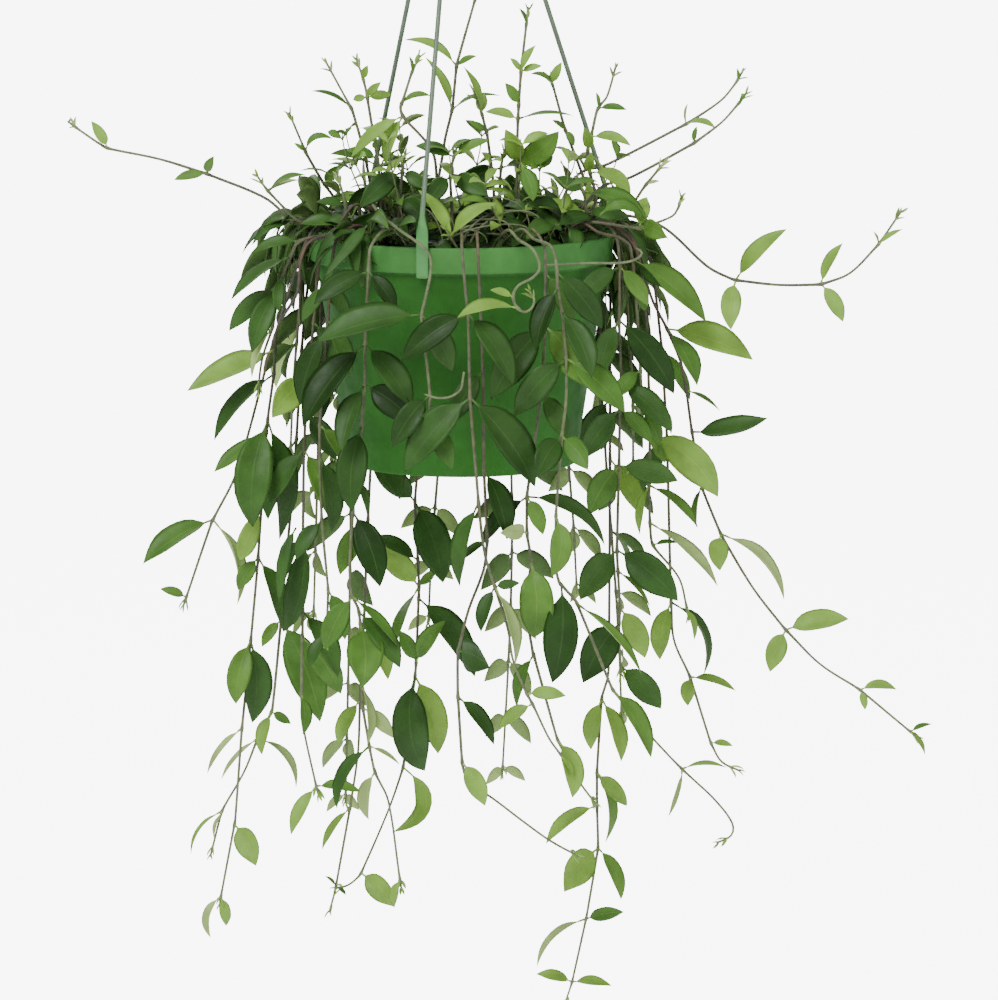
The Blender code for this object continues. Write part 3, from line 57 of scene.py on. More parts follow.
LEAFY_KINDS = ("trail", "runner", "shoot", "tuft", "far")
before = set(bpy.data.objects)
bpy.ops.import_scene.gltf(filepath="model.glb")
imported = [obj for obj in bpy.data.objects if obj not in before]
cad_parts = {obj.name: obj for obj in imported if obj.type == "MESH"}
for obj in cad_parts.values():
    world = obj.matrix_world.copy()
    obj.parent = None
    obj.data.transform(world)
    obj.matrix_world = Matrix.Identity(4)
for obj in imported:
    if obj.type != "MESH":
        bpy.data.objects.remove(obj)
cad_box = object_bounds()
leafy = sorted(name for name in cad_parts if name.split("_")[0] in LEAFY_KINDS)
print("solids", len(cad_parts), "leafy stems", len(leafy))

# %% [markdown]
# ## The camera
#
# The picture is 998 pixels wide and 1000 high, and half a millimetre on the pot's axis covers one
# pixel. The eye stands 2.5 m away and looks down by 8.9 degrees. A sensor 36 mm wide and a lens
# of 180 mm give that view. The same three directions turn any place into the pixel that shows it,
# which is useful later: a leaf can be found by the pixel of its tip.

# %% The camera and its pixels
PHOTO_WIDTH = 998
PHOTO_HEIGHT = 1000
FOCAL_PIXELS = 5000
SENSOR = 36
EYE_DISTANCE = 2.5
EYE_LIFT = math.radians(8.9)
RIM_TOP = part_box("pot")[1].z
LOOK_AT = Vector((18.5 * MM, 0, RIM_TOP - 134 * MM))
SIGHT = Vector((0, math.cos(EYE_LIFT), -math.sin(EYE_LIFT)))
RIGHT = Vector((1, 0, 0))
UP = RIGHT.cross(SIGHT)
EYE = LOOK_AT - SIGHT * EYE_DISTANCE

lens = bpy.data.cameras.new("camera")
lens.sensor_width = SENSOR
lens.sensor_fit = "HORIZONTAL"
lens.lens = SENSOR * FOCAL_PIXELS / PHOTO_WIDTH
camera = bpy.data.objects.new("camera", lens)
camera.matrix_world = Matrix.Translation(EYE) @ Matrix((RIGHT, UP, -SIGHT)).transposed().to_4x4()
bpy.context.scene.collection.objects.link(camera)
bpy.context.scene.camera = camera


def to_photo(place):
    """The pixel that shows a place."""
    ray = place - EYE
    scale = FOCAL_PIXELS / ray.dot(SIGHT)
    return PHOTO_WIDTH / 2 + ray.dot(RIGHT) * scale, PHOTO_HEIGHT / 2 - ray.dot(UP) * scale


print("rim's front at pixel", [round(number) for number in to_photo(Vector((0, -0.075, RIM_TOP)))])

# %% [markdown]
# ## Reading a leafy stem out of its solid
#
# Each leafy stem is one faceted solid: square rings along the stem, and leaves of four-cornered
# sections that each end in a sharp tip. A fine leaf could be placed by hand, 450 times, or the
# solid can be asked where its leaves are. Asking is safer, because then the fine leaf lies exactly
# where the solid is that stands for it. The steps are:
#
# - weld a copy of the solid, so that corners in one place are one corner
# - a corner whose faces add up to little angle is a spike: a leaf's tip, or the stem's end
# - the corners next to a spike are the section before it, and so on down to the stem
# - what is left without the leaves is the stem, ring after ring

# %% Corners, sections and rings
STEM_RING_TOLERANCE = 0.08


def next_corners(ring, seen):
    """The corners that edges lead to from a ring, apart from those already seen."""
    return {edge.other_vert(corner) for corner in ring for edge in corner.link_edges} - seen


def middle_of(ring):
    return sum((corner.co for corner in ring), Vector()) / len(ring)


def reaches_of(ring):
    """How far each corner of a ring lies from its middle."""
    return [(corner.co - middle_of(ring)).length for corner in ring]


def is_stem_ring(ring):
    """A stem's ring is square, and a leaf's section is wider than it is thick."""
    reaches = reaches_of(ring)
    return max(reaches) - min(reaches) < STEM_RING_TOLERANCE * max(reaches)


def read_section(ring):
    """A leaf section's centre, the direction its upper side faces, and its width."""
    corners = [corner.co for corner in ring]
    edges = max(((a, b) for a in corners for b in corners), key=lambda pair: (pair[0] - pair[1]).length)
    upper, under = [corner for corner in corners if corner not in edges]
    centre = (upper + under) / 2
    normal = (upper - under).normalized()
    if normal.dot((edges[0] + edges[1]) / 2 - centre) < 0:
        normal = -normal
    return centre, normal, (edges[0] - edges[1]).length


print("a stem's ring is square to", round(STEM_RING_TOLERANCE * 100), "percent")

# %% [markdown]
# A leaf's midrib is a curve with three handles: the joint it grows from, a middle point that pulls
# it into an arch, and the tip. The middle handle follows from a section's centre, because the
# curve must pass through it. A leaf's age is 0 when it is old and 1 when it is young, and leaves
# that lie in shade are set a little below 0, which paints shade into them as a darker green.

# %% What a leaf is, and how it is read
WELD = 0.01 * MM
SPIKE = math.radians(200)
JOINT_SPAN = 5 * MM
# The first value is no age: it paints shade into leaves that lie in shade, as a green darker than an old
# leaf's.
PAINTED_SHADE, OLD, HALF_GROWN, YOUNG = -0.18, 0.0, 0.5, 1.0
# How far along the rib each section of a leaf lies, and its part of the full width.
SECTIONS = {2: ((0.30, 0.90), (0.66, 0.84)), 1: ((0.45, 0.95),)}


@dataclass
class Leaf:
    """A leaf's midrib, the side it faces, its width, its age, and how far up the stem it grows."""

    base: Vector
    middle: Vector
    tip: Vector
    face: Vector
    width: float
    age: float = OLD
    along_stem: int = 0
    pale: float = 0.0


def read_leaf(base, tip, sections, along_stem):
    """A leaf whose arch, side and width follow from its sections."""
    parts = SECTIONS[len(sections)]
    middles = []
    for (centre, _, _), (part, _) in zip(sections, parts):
        ends = base * (1 - part) ** 2 + tip * part ** 2
        middles.append((centre - ends) / (2 * part * (1 - part)))
    middle = sum(middles, Vector()) / len(middles)
    face = sum((normal for _, normal, _ in sections), Vector()).normalized()
    width = max(width / width_part for (_, _, width), (_, width_part) in zip(sections, parts))
    return Leaf(base, middle, tip, face, width, along_stem=along_stem)


def read_leafy_stem(node):
    """A leafy stem's line as (place, radius) pairs from the root up, and its leaves."""
    solid = bmesh.new()
    solid.from_mesh(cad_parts[node].data)
    bmesh.ops.remove_doubles(solid, verts=solid.verts[:], dist=WELD)
    seen = set()
    found = []
    for corner in solid.verts:
        if sum(loop.calc_angle() for loop in corner.link_loops) > SPIKE:
            continue
        last = next_corners({corner}, {corner})
        seen.add(corner)
        if is_stem_ring(last):
            rings = [{corner}]
            continue
        foot = next_corners(last, last | {corner})
        sections = [last]
        if 2 * max(reaches_of(foot)) > JOINT_SPAN:
            sections = [foot, last]
            foot = next_corners(foot, foot | last)
        seen.update(*sections)
        found.append((corner.co.copy(), sections, foot))
    while rings[-1]:
        rings.append(next_corners(rings[-1], seen))
        seen |= rings[-1]
    rings = rings[-2::-1]
    line = [(middle_of(ring), max(reaches_of(ring))) for ring in rings]
    level = {corner: number for number, ring in enumerate(rings) for corner in ring}
    leaves = []
    for tip, sections, foot in found:
        carriers = {level[corner] for corner in foot}
        base = sum((line[number][0] for number in carriers), Vector()) / len(carriers)
        leaves.append(read_leaf(base, tip, [read_section(ring) for ring in sections], min(carriers)))
    leaves.sort(key=lambda leaf: (leaf.along_stem, leaf.tip.x))
    solid.free()
    return line, leaves


stems = {name: read_leafy_stem(name) for name in leafy}
print("leaves read", sum(len(leaves) for _, leaves in stems.values()))

# %% [markdown]
# ## How old each leaf is
#
# An old leaf of this plant is a dark, greyish green, a young one is a fresh yellow green, and some
# turn their pale undersides to the front. Leaves that lie in shade get painted shade, a green darker
# than an old leaf's, and a few others in shade are set young, so that their lighter green is painted
# light. The leaves that the photograph shows are looked up by the pixel of their tip. The far side
# follows the same habit: the further down a stem, the younger the leaf.

# %% Tips of the leaves that aren't plain green
# Mostly young leaves. A few are leaves in shade that are set young, so that their lighter green is painted
# light.
YOUNG_AND_PAINTED_LIGHT_TIPS = [
    (404, 40), (536, 45), (425, 57), (510, 58), (562, 62), (368, 65), (463, 66), (542, 66), (381, 82),
    (484, 92), (392, 95), (353, 100), (485, 112), (91, 121), (584, 127), (505, 129), (716, 129),
    (631, 146), (592, 152), (351, 158), (386, 165), (418, 190), (647, 197), (630, 200), (498, 203),
    (530, 207), (787, 229), (903, 229), (843, 243), (490, 290), (457, 318), (843, 322), (731, 330),
    (753, 360), (187, 391), (272, 418), (718, 497), (640, 515), (640, 535), (373, 543), (240, 560),
    (720, 571), (849, 619), (694, 640), (645, 658), (660, 660), (770, 672), (388, 680), (897, 690),
    (736, 691), (566, 696), (688, 706), (865, 710), (499, 729), (338, 745), (733, 746), (591, 750),
    (438, 754), (262, 755), (925, 755), (621, 762), (727, 768), (573, 777), (572, 798), (485, 806),
    (627, 806), (393, 832), (291, 835), (546, 844), (322, 850), (191, 855), (256, 866), (564, 892),
    (395, 907), (226, 926), (536, 974), (612, 986),
]
HALF_GROWN_TIPS = [
    (490, 140), (648, 221), (648, 306), (644, 311), (706, 322), (697, 386), (592, 390), (612, 400),
    (690, 400), (720, 411), (625, 413), (652, 444), (660, 445), (665, 463), (352, 470), (588, 470),
    (214, 472), (588, 515), (328, 516), (698, 528), (543, 535), (678, 543), (143, 564), (437, 570),
    (340, 575), (551, 577), (160, 589), (238, 590), (650, 607), (446, 620), (398, 630), (533, 638),
    (345, 640), (262, 647), (325, 650), (400, 650), (642, 675), (362, 688), (341, 694), (236, 704),
    (517, 708), (320, 722), (291, 724), (932, 724), (303, 735), (651, 758), (361, 792), (605, 843),
    (325, 876), (621, 900), (624, 912),
]
PALE_TIPS = [
    (688, 103), (76, 116), (672, 160), (300, 180), (660, 181), (686, 198), (873, 231), (252, 378),
    (276, 388), (500, 533), (718, 587), (784, 600), (237, 605), (515, 665), (393, 738), (367, 745),
    (400, 765), (207, 774), (221, 780), (296, 788), (668, 817), (369, 820), (214, 838), (211, 938),
    (537, 967),
]
# Tips of the leaves that lie in shade and get painted shade: a green darker than an old leaf's.
PAINTED_SHADE_TIPS = [
    (545, 164), (372, 188), (455, 188), (428, 228), (314, 304), (396, 312), (602, 329), (536, 350),
    (402, 361), (674, 394), (300, 405), (514, 417), (322, 420), (416, 424), (303, 427), (392, 448),
    (336, 460), (507, 540), (482, 545), (380, 587), (490, 668), (552, 683),
]
print("tips listed", len(YOUNG_AND_PAINTED_LIGHT_TIPS + HALF_GROWN_TIPS + PALE_TIPS + PAINTED_SHADE_TIPS))

# %% Give every leaf its age
TIP_MISS = 6
FAR_OLD_PART = 0.68
FAR_HALF_GROWN_PART = 0.88
# Each list with the age and the paleness of its leaves.
TIP_LISTS = ((YOUNG_AND_PAINTED_LIGHT_TIPS, YOUNG, 0.0), (HALF_GROWN_TIPS, HALF_GROWN, 0.0), (PAINTED_SHADE_TIPS, PAINTED_SHADE, 0.0),
             (PALE_TIPS, YOUNG, 1.0))


def pixels_off(leaf, u, v):
    """How many pixels a leaf's tip lies from a pixel."""
    pixel = to_photo(leaf.tip)
    return math.hypot(pixel[0] - u, pixel[1] - v)


def set_age(leaf, kind, part):
    """Looks a leaf up by its tip. The far side's leaves are aged by their place on the stem."""
    if kind == "far":
        leaf.age = OLD if part < FAR_OLD_PART else HALF_GROWN if part < FAR_HALF_GROWN_PART else YOUNG
        return
    looks = [(min(pixels_off(leaf, *tip) for tip in tips), age, pale) for tips, age, pale in TIP_LISTS]
    miss, leaf.age, leaf.pale = min(looks, key=lambda look: look[0])
    if miss > TIP_MISS:
        leaf.age = HALF_GROWN if kind in ("shoot", "runner") else OLD
        leaf.pale = 0.0


for name, (line, leaves) in stems.items():
    for leaf in leaves:
        set_age(leaf, name.split("_")[0], leaf.along_stem / len(line))
ages = [leaf.age for _, leaves in stems.values() for leaf in leaves]
print("old", ages.count(OLD), "half grown", ages.count(HALF_GROWN), "young", ages.count(YOUNG))

# %% [markdown]
# ## A few tools for node trees
#
# Both the shapes and the finishes below are built from nodes. `add` adds one node, sets what it is
# told, feeds its inputs and hands back its output. An output can be added to, multiplied and
# mapped as a number can, and each such step is a node too, so that a tree reads like a sum.

# %% A node's output, and a tree


class Output:
    """A node's output. What is done with it becomes the next node."""

    def __init__(self, tree, socket):
        self.tree = tree
        self.socket = socket

    def maths(self, operation, *values):
        """Vectors and colours have a maths node of their own."""
        kind = "ShaderNodeMath" if self.socket.type == "VALUE" else "ShaderNodeVectorMath"
        return self.tree.add(kind, self, *values, operation=operation)

    def __add__(self, other):
        return self.maths("ADD", other)

    def __sub__(self, other):
        return self.maths("SUBTRACT", other)

    def __mul__(self, other):
        return self.maths("MULTIPLY" if self.socket.type == "VALUE" else "SCALE", other)

    def fit(self, low, high, to_low=0.0, to_high=1.0, smooth=True):
        """Maps the value from one range to another, held at its ends."""
        way = "SMOOTHSTEP" if smooth else "LINEAR"
        return self.tree.add("ShaderNodeMapRange", self, low, high, to_low, to_high, interpolation_type=way)

    def curve(self, points):
        """Reads a value off a curve drawn through points."""
        read = self.tree.add("ShaderNodeFloatCurve", named={"Value": self})
        mapping = read.socket.node.mapping
        drawn = mapping.curves[0].points
        for number, (x, y) in enumerate(points):
            if number < len(drawn):
                drawn[number].location = (x, y)
            else:
                drawn.new(x, y)
        mapping.update()
        return read


class Tree:
    """A node tree. A kind of node that is named without the word Node gets the tree's own prefix."""

    def __init__(self, tree, prefix):
        self.tree = tree
        self.prefix = prefix

    def feed(self, socket, value):
        """Links an output to an input, or sets the input's own value."""
        if isinstance(value, Output):
            self.tree.links.new(value.socket, socket)
        elif value is not None:
            socket.default_value = value

    def add(self, kind, *values, out=None, named=None, **settings):
        """Adds a node. values feed its inputs in order, named feeds them by name."""
        node = self.tree.nodes.new(kind if "Node" in kind else self.prefix + kind)
        for key, setting in settings.items():
            setattr(node, key, setting)
        for socket, value in zip([socket for socket in node.inputs if socket.enabled], values):
            self.feed(socket, value)
        for key, value in (named or {}).items():
            self.feed(node.inputs[key], value)
        shown = [socket for socket in node.outputs if socket.enabled]
        return Output(self, shown[0] if out is None else node.outputs[out])

    def mix(self, part, first, last, kind="RGBA"):
        """The colour or vector that lies a part of the way from one to another."""
        held = kind == "RGBA"
        return self.add("ShaderNodeMix", part, first, last, data_type=kind, clamp_factor=held)


print("tree tools ready")

# %% Groups with named inputs
SOCKET_KINDS = {float: "Float", int: "Int", tuple: "Color"}


def bake(thing):
    """Turns an object and its modifiers into one plain mesh."""
    graph = bpy.context.evaluated_depsgraph_get()
    mesh = bpy.data.meshes.new_from_object(thing.evaluated_get(graph), depsgraph=graph)
    thing.modifiers.clear()
    thing.data = mesh
    return thing


def new_object(name, mesh):
    thing = bpy.data.objects.new(name, mesh)
    bpy.context.scene.collection.objects.link(thing)
    return thing


class Group(Tree):
    """A tree with named inputs and outputs. An input is given as its first value, or as its kind."""

    def __init__(self, name, family, inputs, outputs=(("Geometry", "Geometry"),)):
        super().__init__(bpy.data.node_groups.new(name, family + "NodeTree"), family + "Node")
        for key, value in inputs.items():
            kind = value if isinstance(value, str) else SOCKET_KINDS[type(value)]
            socket = self.new_socket(key, "INPUT", kind)
            if kind is not value:
                socket.default_value = value
        given = self.tree.nodes.new("NodeGroupInput").outputs
        self.given = {key: Output(self, given[key]) for key in inputs}
        for key, kind in outputs:
            self.new_socket(key, "OUTPUT", kind)

    def new_socket(self, name, way, kind):
        return self.tree.interface.new_socket(name=name, in_out=way, socket_type="NodeSocket" + kind)

    def give(self, **results):
        """Feeds the group's outputs."""
        node = self.tree.nodes.new("NodeGroupOutput")
        for key, value in results.items():
            self.feed(node.inputs[key], value)

    def give_all(self, *parts):
        """Joins parts into the group's geometry, with nothing left as an instance."""
        joined = self.tree.nodes.new("GeometryNodeJoinGeometry")
        for part in parts:
            self.feed(joined.inputs[0], part)
        self.give(Geometry=self.add("RealizeInstances", Output(self, joined.outputs[0])))

    def apply(self, thing, values):
        """Runs the tree on an object and keeps the plain mesh that it makes."""
        modifier = thing.modifiers.new("shape", "NODES")
        modifier.node_group = self.tree
        for item in self.tree.interface.items_tree:
            if item.in_out == "INPUT" and item.name in values:
                modifier[item.identifier] = values[item.name]
        return bake(thing)


print("group tools ready")

# %% [markdown]
# ## The finishes of the plant
#
# A leaf's colour depends on where on the leaf you are: the midrib is a pale line, the side veins
# are faint, the underside is lighter and duller than the top. So the leaf carries numbers on its
# corners that say how far along, how far across and on which side a point lies, how old the leaf
# is, and one that is different for each leaf. The material reads them. Slow noise keeps the colour
# from being even. That mottling is wanted on the stems, the pot and the soil too, so it is a group
# of its own.

# %% Mottle: slow variation that most finishes use
WHITE = (1.0, 1.0, 1.0, 1.0)
NOISE_SPAN = (0.3, 0.7)
mottle = Group("mottle", "Shader", {"Size": 10 * MM, "Low": 0.9, "High": 1.1, "Color": WHITE},
               (("Color", "Color"), ("Amount", "Float")))
mottle_noise = mottle.add("TexNoise", named={
    "Vector": mottle.add("TexCoord", out="Object"), "Detail": 3.0, "Roughness": 0.55,
    "Scale": mottle.add("Math", 1.0, mottle.given["Size"], operation="DIVIDE")})
mottle_gain = mottle_noise.fit(*NOISE_SPAN, mottle.given["Low"], mottle.given["High"])
mottle.give(Color=mottle.given["Color"] * mottle_gain, Amount=mottle_noise)


class Finish(Tree):
    """A material, and the tree that feeds its Principled shader."""

    def __init__(self, name):
        self.material = bpy.data.materials.new(name)
        self.material.use_nodes = True
        super().__init__(self.material.node_tree, "ShaderNode")
        self.shader = self.tree.nodes["Principled BSDF"]

    def shade(self, name, value):
        """Feeds one input of the shader."""
        self.feed(self.shader.inputs[name], value)

    def read(self, name):
        """A number that the mesh carries on its corners."""
        return self.add("Attribute", attribute_name=name, out="Fac")

    def height(self):
        """How high a point lies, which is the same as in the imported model."""
        return self.add("SeparateXYZ", self.add("TexCoord", out="Object"), out="Z")

    def mottled(self, color, size, low, high):
        """A colour that slow noise of a given size makes darker and lighter."""
        named = {"Size": size, "Low": low, "High": high, "Color": color}
        return self.add("Group", named=named, node_tree=mottle.tree)

    def grain(self, size):
        """The noise itself, most of it within NOISE_SPAN."""
        return self.add("Group", named={"Size": size}, node_tree=mottle.tree, out="Amount")

    def bump(self, height, strength, distance):
        named = {"Height": height, "Strength": strength, "Distance": distance}
        self.shade("Normal", self.add("Bump", named=named))


print("mottle group and finishes ready")

# %% The leaf's colours
# The darkest green is painted shade, for leaves that lie in shade.
PAINTED_SHADE_TOP = (0.010, 0.038, 0.003, 1)
OLD_TOP = (0.036, 0.098, 0.018, 1)
HALF_GROWN_TOP = (0.076, 0.186, 0.027, 1)
YOUNG_TOP = (0.214, 0.396, 0.060, 1)
OLD_UNDER = (0.080, 0.155, 0.042, 1)
YOUNG_UNDER = (0.345, 0.485, 0.160, 1)
OLD_RIB = (0.090, 0.185, 0.045, 1)
YOUNG_RIB = (0.300, 0.470, 0.090, 1)
SIDE_VEINS = 7.0
VEIN_SLANT = 0.9
VEIN_TINT = 0.06
LEAF_GLOSS = (0.40, 0.52)
UNDER_DULLNESS = 0.24
# The greens' stops lie where the ages OLD and HALF_GROWN fall between the painted-shade value and YOUNG.
OLD_STOP = 0.15
HALF_GROWN_STOP = 0.575

wax = Finish("leaf_wax")
along, over, age, luck, pale = [wax.read(name) for name in ("along", "over", "age", "draw", "pale")]
across = wax.read("across").maths("ABSOLUTE")
ramp = wax.add("ValToRGB", age.fit(PAINTED_SHADE, YOUNG, smooth=False) + luck.fit(0, 1, -0.07, 0.12, smooth=False))
stops = ramp.socket.node.color_ramp.elements
stops[0].color = PAINTED_SHADE_TOP
stops[1].color = YOUNG_TOP
stops.new(OLD_STOP).color = OLD_TOP
stops.new(HALF_GROWN_STOP).color = HALF_GROWN_TOP
is_under = over.fit(-0.05, -0.35).maths("MAXIMUM", pale)
blade = wax.mix(is_under, ramp, wax.mix(age, OLD_UNDER, YOUNG_UNDER))
print("leaf blade goes through", len(stops), "greens")

# %% The leaf's veins, edge and gloss
rib = across.fit(0.02, 0.075, 1.0, 0.0) * along.fit(0.75, 0.98, 1.0, 0.2)
rib_color = wax.mix(age, OLD_RIB, YOUNG_RIB)
blade = wax.mix(rib * age.fit(PAINTED_SHADE, YOUNG, 0.2, 0.4), blade, rib_color)
vein_wave = ((along * SIDE_VEINS - across * VEIN_SLANT) * math.pi).maths("SINE").maths("ABSOLUTE")
vein = vein_wave.fit(0.0, 0.16, 1.0, 0.0) * across.fit(0.55, 0.95, 1.0, 0.0)
blade = wax.mix(vein * VEIN_TINT, blade, rib_color)
blade = wax.mix(across.fit(0.94, 1.0, 0.0, 0.14), blade, rib_color)
stalk = wax.mix(along.fit(0.06, 0.14, 0.75, 0.0), blade, rib_color)
wax.shade("Base Color", wax.mottled(stalk, 14 * MM, 0.84, 1.16))
wax.shade("Roughness", wax.grain(6 * MM).fit(*NOISE_SPAN, *LEAF_GLOSS) + is_under * UNDER_DULLNESS)
wax.shade("Specular IOR Level", 0.2)
wax.bump(rib * -0.9 + vein * -0.15 + wax.grain(3.5 * MM), 0.25, 0.4 * MM)
print("leaf finish nodes", len(wax.tree.nodes))

# %% [markdown]
# The stems are thin and woody. Old wood is a greyish brown with reddish stretches, and the young
# end of a stem is green. The number `green` on the corners says how young the wood is there.

# %% The stem's finish
OLD_BARK = (0.060, 0.046, 0.035, 1)
RED_BARK = (0.112, 0.060, 0.031, 1)
GREEN_BARK = (0.146, 0.180, 0.082, 1)

bark = Finish("stem_bark")
wood = bark.mix(bark.grain(22 * MM).fit(0.46, 0.62, 0.0, 0.65), OLD_BARK, RED_BARK)
wood = bark.mix(bark.read("green"), wood, GREEN_BARK)
bark.shade("Base Color", bark.mottled(wood, 4 * MM, 0.75, 1.25))
bark_grain = bark.grain(0.7 * MM)
bark.shade("Roughness", bark_grain.fit(*NOISE_SPAN, 0.5, 0.75))
bark.bump(bark_grain, 0.4, 0.2 * MM)
print("stem finish nodes", len(bark.tree.nodes))

# %% [markdown]
# ## A leaf blank
#
# All leaves are the same thin cushion before they are bent and sized: rings of corners around a
# straight line, which close to a point at the tip. A large leaf has a finer blank than a small one.
# Each corner carries three numbers: how far along the leaf it is (0 to 1), how far across (-1 to
# 1), and whether it is over the middle plane or under it. The rings stand closer where the outline
# curves most.

# %% The blank
BLANK_SIDES = 8
BLANK_STATIONS = (0.0, 0.07, 0.11, 0.15, 0.21, 0.29, 0.38, 0.48, 0.58, 0.68, 0.77, 0.85, 0.91, 0.96)
SMALL_SIDES = 6
SMALL_STATIONS = (0.0, 0.10, 0.20, 0.36, 0.54, 0.73, 0.89)


def turns(sides):
    """The angles of a ring's corners."""
    return [2 * math.pi * side / sides for side in range(sides)]


def band(lower, upper, side):
    """The four corners between two rings at one side."""
    after = (side + 1) % len(lower)
    return lower[side], lower[after], upper[after], upper[side]


def make_blank(sides, stations):
    """The leaf before it is shaped, as a helper object."""
    shape = bmesh.new()
    rows = [(station, math.cos(turn), math.sin(turn)) for station in stations for turn in turns(sides)]
    corners = [shape.verts.new((across, along, over)) for along, across, over in rows]
    rings = [corners[first:first + sides] for first in range(0, len(corners), sides)]
    for lower, upper in zip(rings, rings[1:]):
        for side in range(sides):
            start, *others = band(lower, upper, side)
            shape.faces.new((start, *reversed(others)))
    shape.faces.new(rings[0])
    tip = shape.verts.new((0, 1, 0))
    rows.append((1.0, 0.0, 0.0))
    for side in range(sides):
        shape.faces.new((rings[-1][side], tip, rings[-1][(side + 1) % sides]))
    mesh = bpy.data.meshes.new("leaf_blank")
    shape.to_mesh(mesh)
    shape.free()
    for key, numbers in zip(("along", "across", "over"), zip(*rows)):
        mesh.attributes.new(key, "FLOAT", "POINT").data.foreach_set("value", numbers)
    return new_object("leaf_blank", mesh)


blank = make_blank(BLANK_SIDES, BLANK_STATIONS)
small_blank = make_blank(SMALL_SIDES, SMALL_STATIONS)
print("blank faces", len(blank.data.polygons), "and", len(small_blank.data.polygons))

# %% [markdown]
# ## One tree for every leafy stem
#
# A stem repeats its leaves, and a tube follows its line, so one Geometry Nodes tree makes both. It
# is given a skeleton: a chain of edges for the stem, with the thickness on its points, and one
# loose point for each leaf, with the leaf's handles on it. The tube part turns the chain into a
# curve and sweeps a circle along it. The leaf part puts a blank on every loose point and then
# moves the blank's corners: first to the midrib, found by halving between the three handles, then
# sideways by the outline's width, and last up or down by the blade's thickness, fold and waves.

# %% The tree and its stem half
leafy_tree = Group("leafy_stem", "Geometry", {
    "Skeleton": "Geometry", "Leaf Blank": "Object", "Stem Sides": 8, "Blade Half Thickness": 0.32 * MM,
    "Stalk Radius": 0.55 * MM, "Fold": 0.23, "Edge Wave": 0.028, "Stem Finish": "Material",
    "Leaf Finish": "Material"})
given = leafy_tree.given


def carried(name, kind="FLOAT"):
    """A number or a vector that the skeleton's points or the blank's corners carry."""
    return leafy_tree.add("InputNamedAttribute", name, data_type=kind)


def finished(part, finish):
    part = leafy_tree.add("SetShadeSmooth", part)
    return leafy_tree.add("SetMaterial", part, named={"Material": given[finish]})


chain = leafy_tree.add("MeshToCurve", given["Skeleton"])
circle = leafy_tree.add("CurvePrimitiveCircle", named={"Resolution": given["Stem Sides"], "Radius": 1.0})
tube = finished(leafy_tree.add("CurveToMesh", chain, circle, carried("thickness"), True), "Stem Finish")
print("leafy stem inputs", list(given))

# %% Leaf half: a blank on each loose point, bent along its midrib
blank_shape = leafy_tree.add("ObjectInfo", given["Leaf Blank"], out="Geometry")
is_leaf = carried("is_leaf").maths("GREATER_THAN", 0.5)
flat_leaves = leafy_tree.add("InstanceOnPoints", given["Skeleton"], is_leaf, blank_shape)
flat_leaves = leafy_tree.add("RealizeInstances", flat_leaves)
names = ("along", "across", "over", "leaf_width", "draw")
along, across, over, width, luck = [carried(name) for name in names]
names = ("rib_base", "rib_middle", "rib_tip", "face")
base, middle, tip, face = [carried(name, "FLOAT_VECTOR") for name in names]
lower_half = leafy_tree.mix(along, base, middle, "VECTOR")
upper_half = leafy_tree.mix(along, middle, tip, "VECTOR")
rib_place = leafy_tree.mix(along, lower_half, upper_half, "VECTOR")
heading = (upper_half - lower_half).maths("NORMALIZE")
sideways = face.maths("CROSS_PRODUCT", heading).maths("NORMALIZE")
normal = heading.maths("CROSS_PRODUCT", sideways)
print("leaf half nodes", len(leafy_tree.tree.nodes))

# %% How wide, how thick, how wavy
OUTLINE = ((0.0, 0.02), (0.08, 0.03), (0.13, 0.20), (0.22, 0.62), (0.34, 0.90), (0.47, 1.0), (0.61, 0.95),
           (0.75, 0.73), (0.87, 0.42), (0.95, 0.17), (1.0, 0.0))
WAVES_ALONG = 9.0
WAVES_ACROSS = 1.6
WAVE_LUCK = 40.0
SIDE_POWER = 1.25

outline = along.curve(OUTLINE)
stalk_width = along.fit(0.07, 0.16, 1.0, 0.0) * given["Stalk Radius"]
half_width = (outline * width * 0.5).maths("MAXIMUM", stalk_width)
blade_thick = along.fit(0.6, 1.0, 1.0, 0.35) * given["Blade Half Thickness"]
thick = blade_thick.maths("MAXIMUM", stalk_width)
side_part = across.maths("ABSOLUTE").maths("POWER", SIDE_POWER)
fold = half_width * given["Fold"] * side_part
wave = (along * WAVES_ALONG + luck * WAVE_LUCK + across * WAVES_ACROSS).maths("SINE") * given["Edge Wave"]
rise = thick * over + (fold * 2.0 + wave * width * side_part * outline)
moved = rib_place + (sideways * (half_width * across) + normal * rise)
shaped = leafy_tree.add("SetPosition", flat_leaves, named={"Position": moved})
leafy_tree.give_all(tube, finished(shaped, "Leaf Finish"))
print("leafy stem tree nodes", len(leafy_tree.tree.nodes))

# %% [markdown]
# ## The skeletons
#
# The solid gives a ring every few centimetres, and a real stem bends smoothly between them. So the
# line is rounded first: every stretch becomes a curve whose handles point along the stem. At a
# joint, where leaves sit opposite each other, the real stem has a small knuckle.

# %% Smooth the stem's line
LINE_STEP = 2.2 * MM
END_RADIUS = 0.2 * MM
KNUCKLE = 1.45
KNUCKLE_REACH = 1.6 * MM
THINNING = 0.95
LEAST_RADIUS = 0.6 * MM
MOST_RADIUS = 0.76 * MM


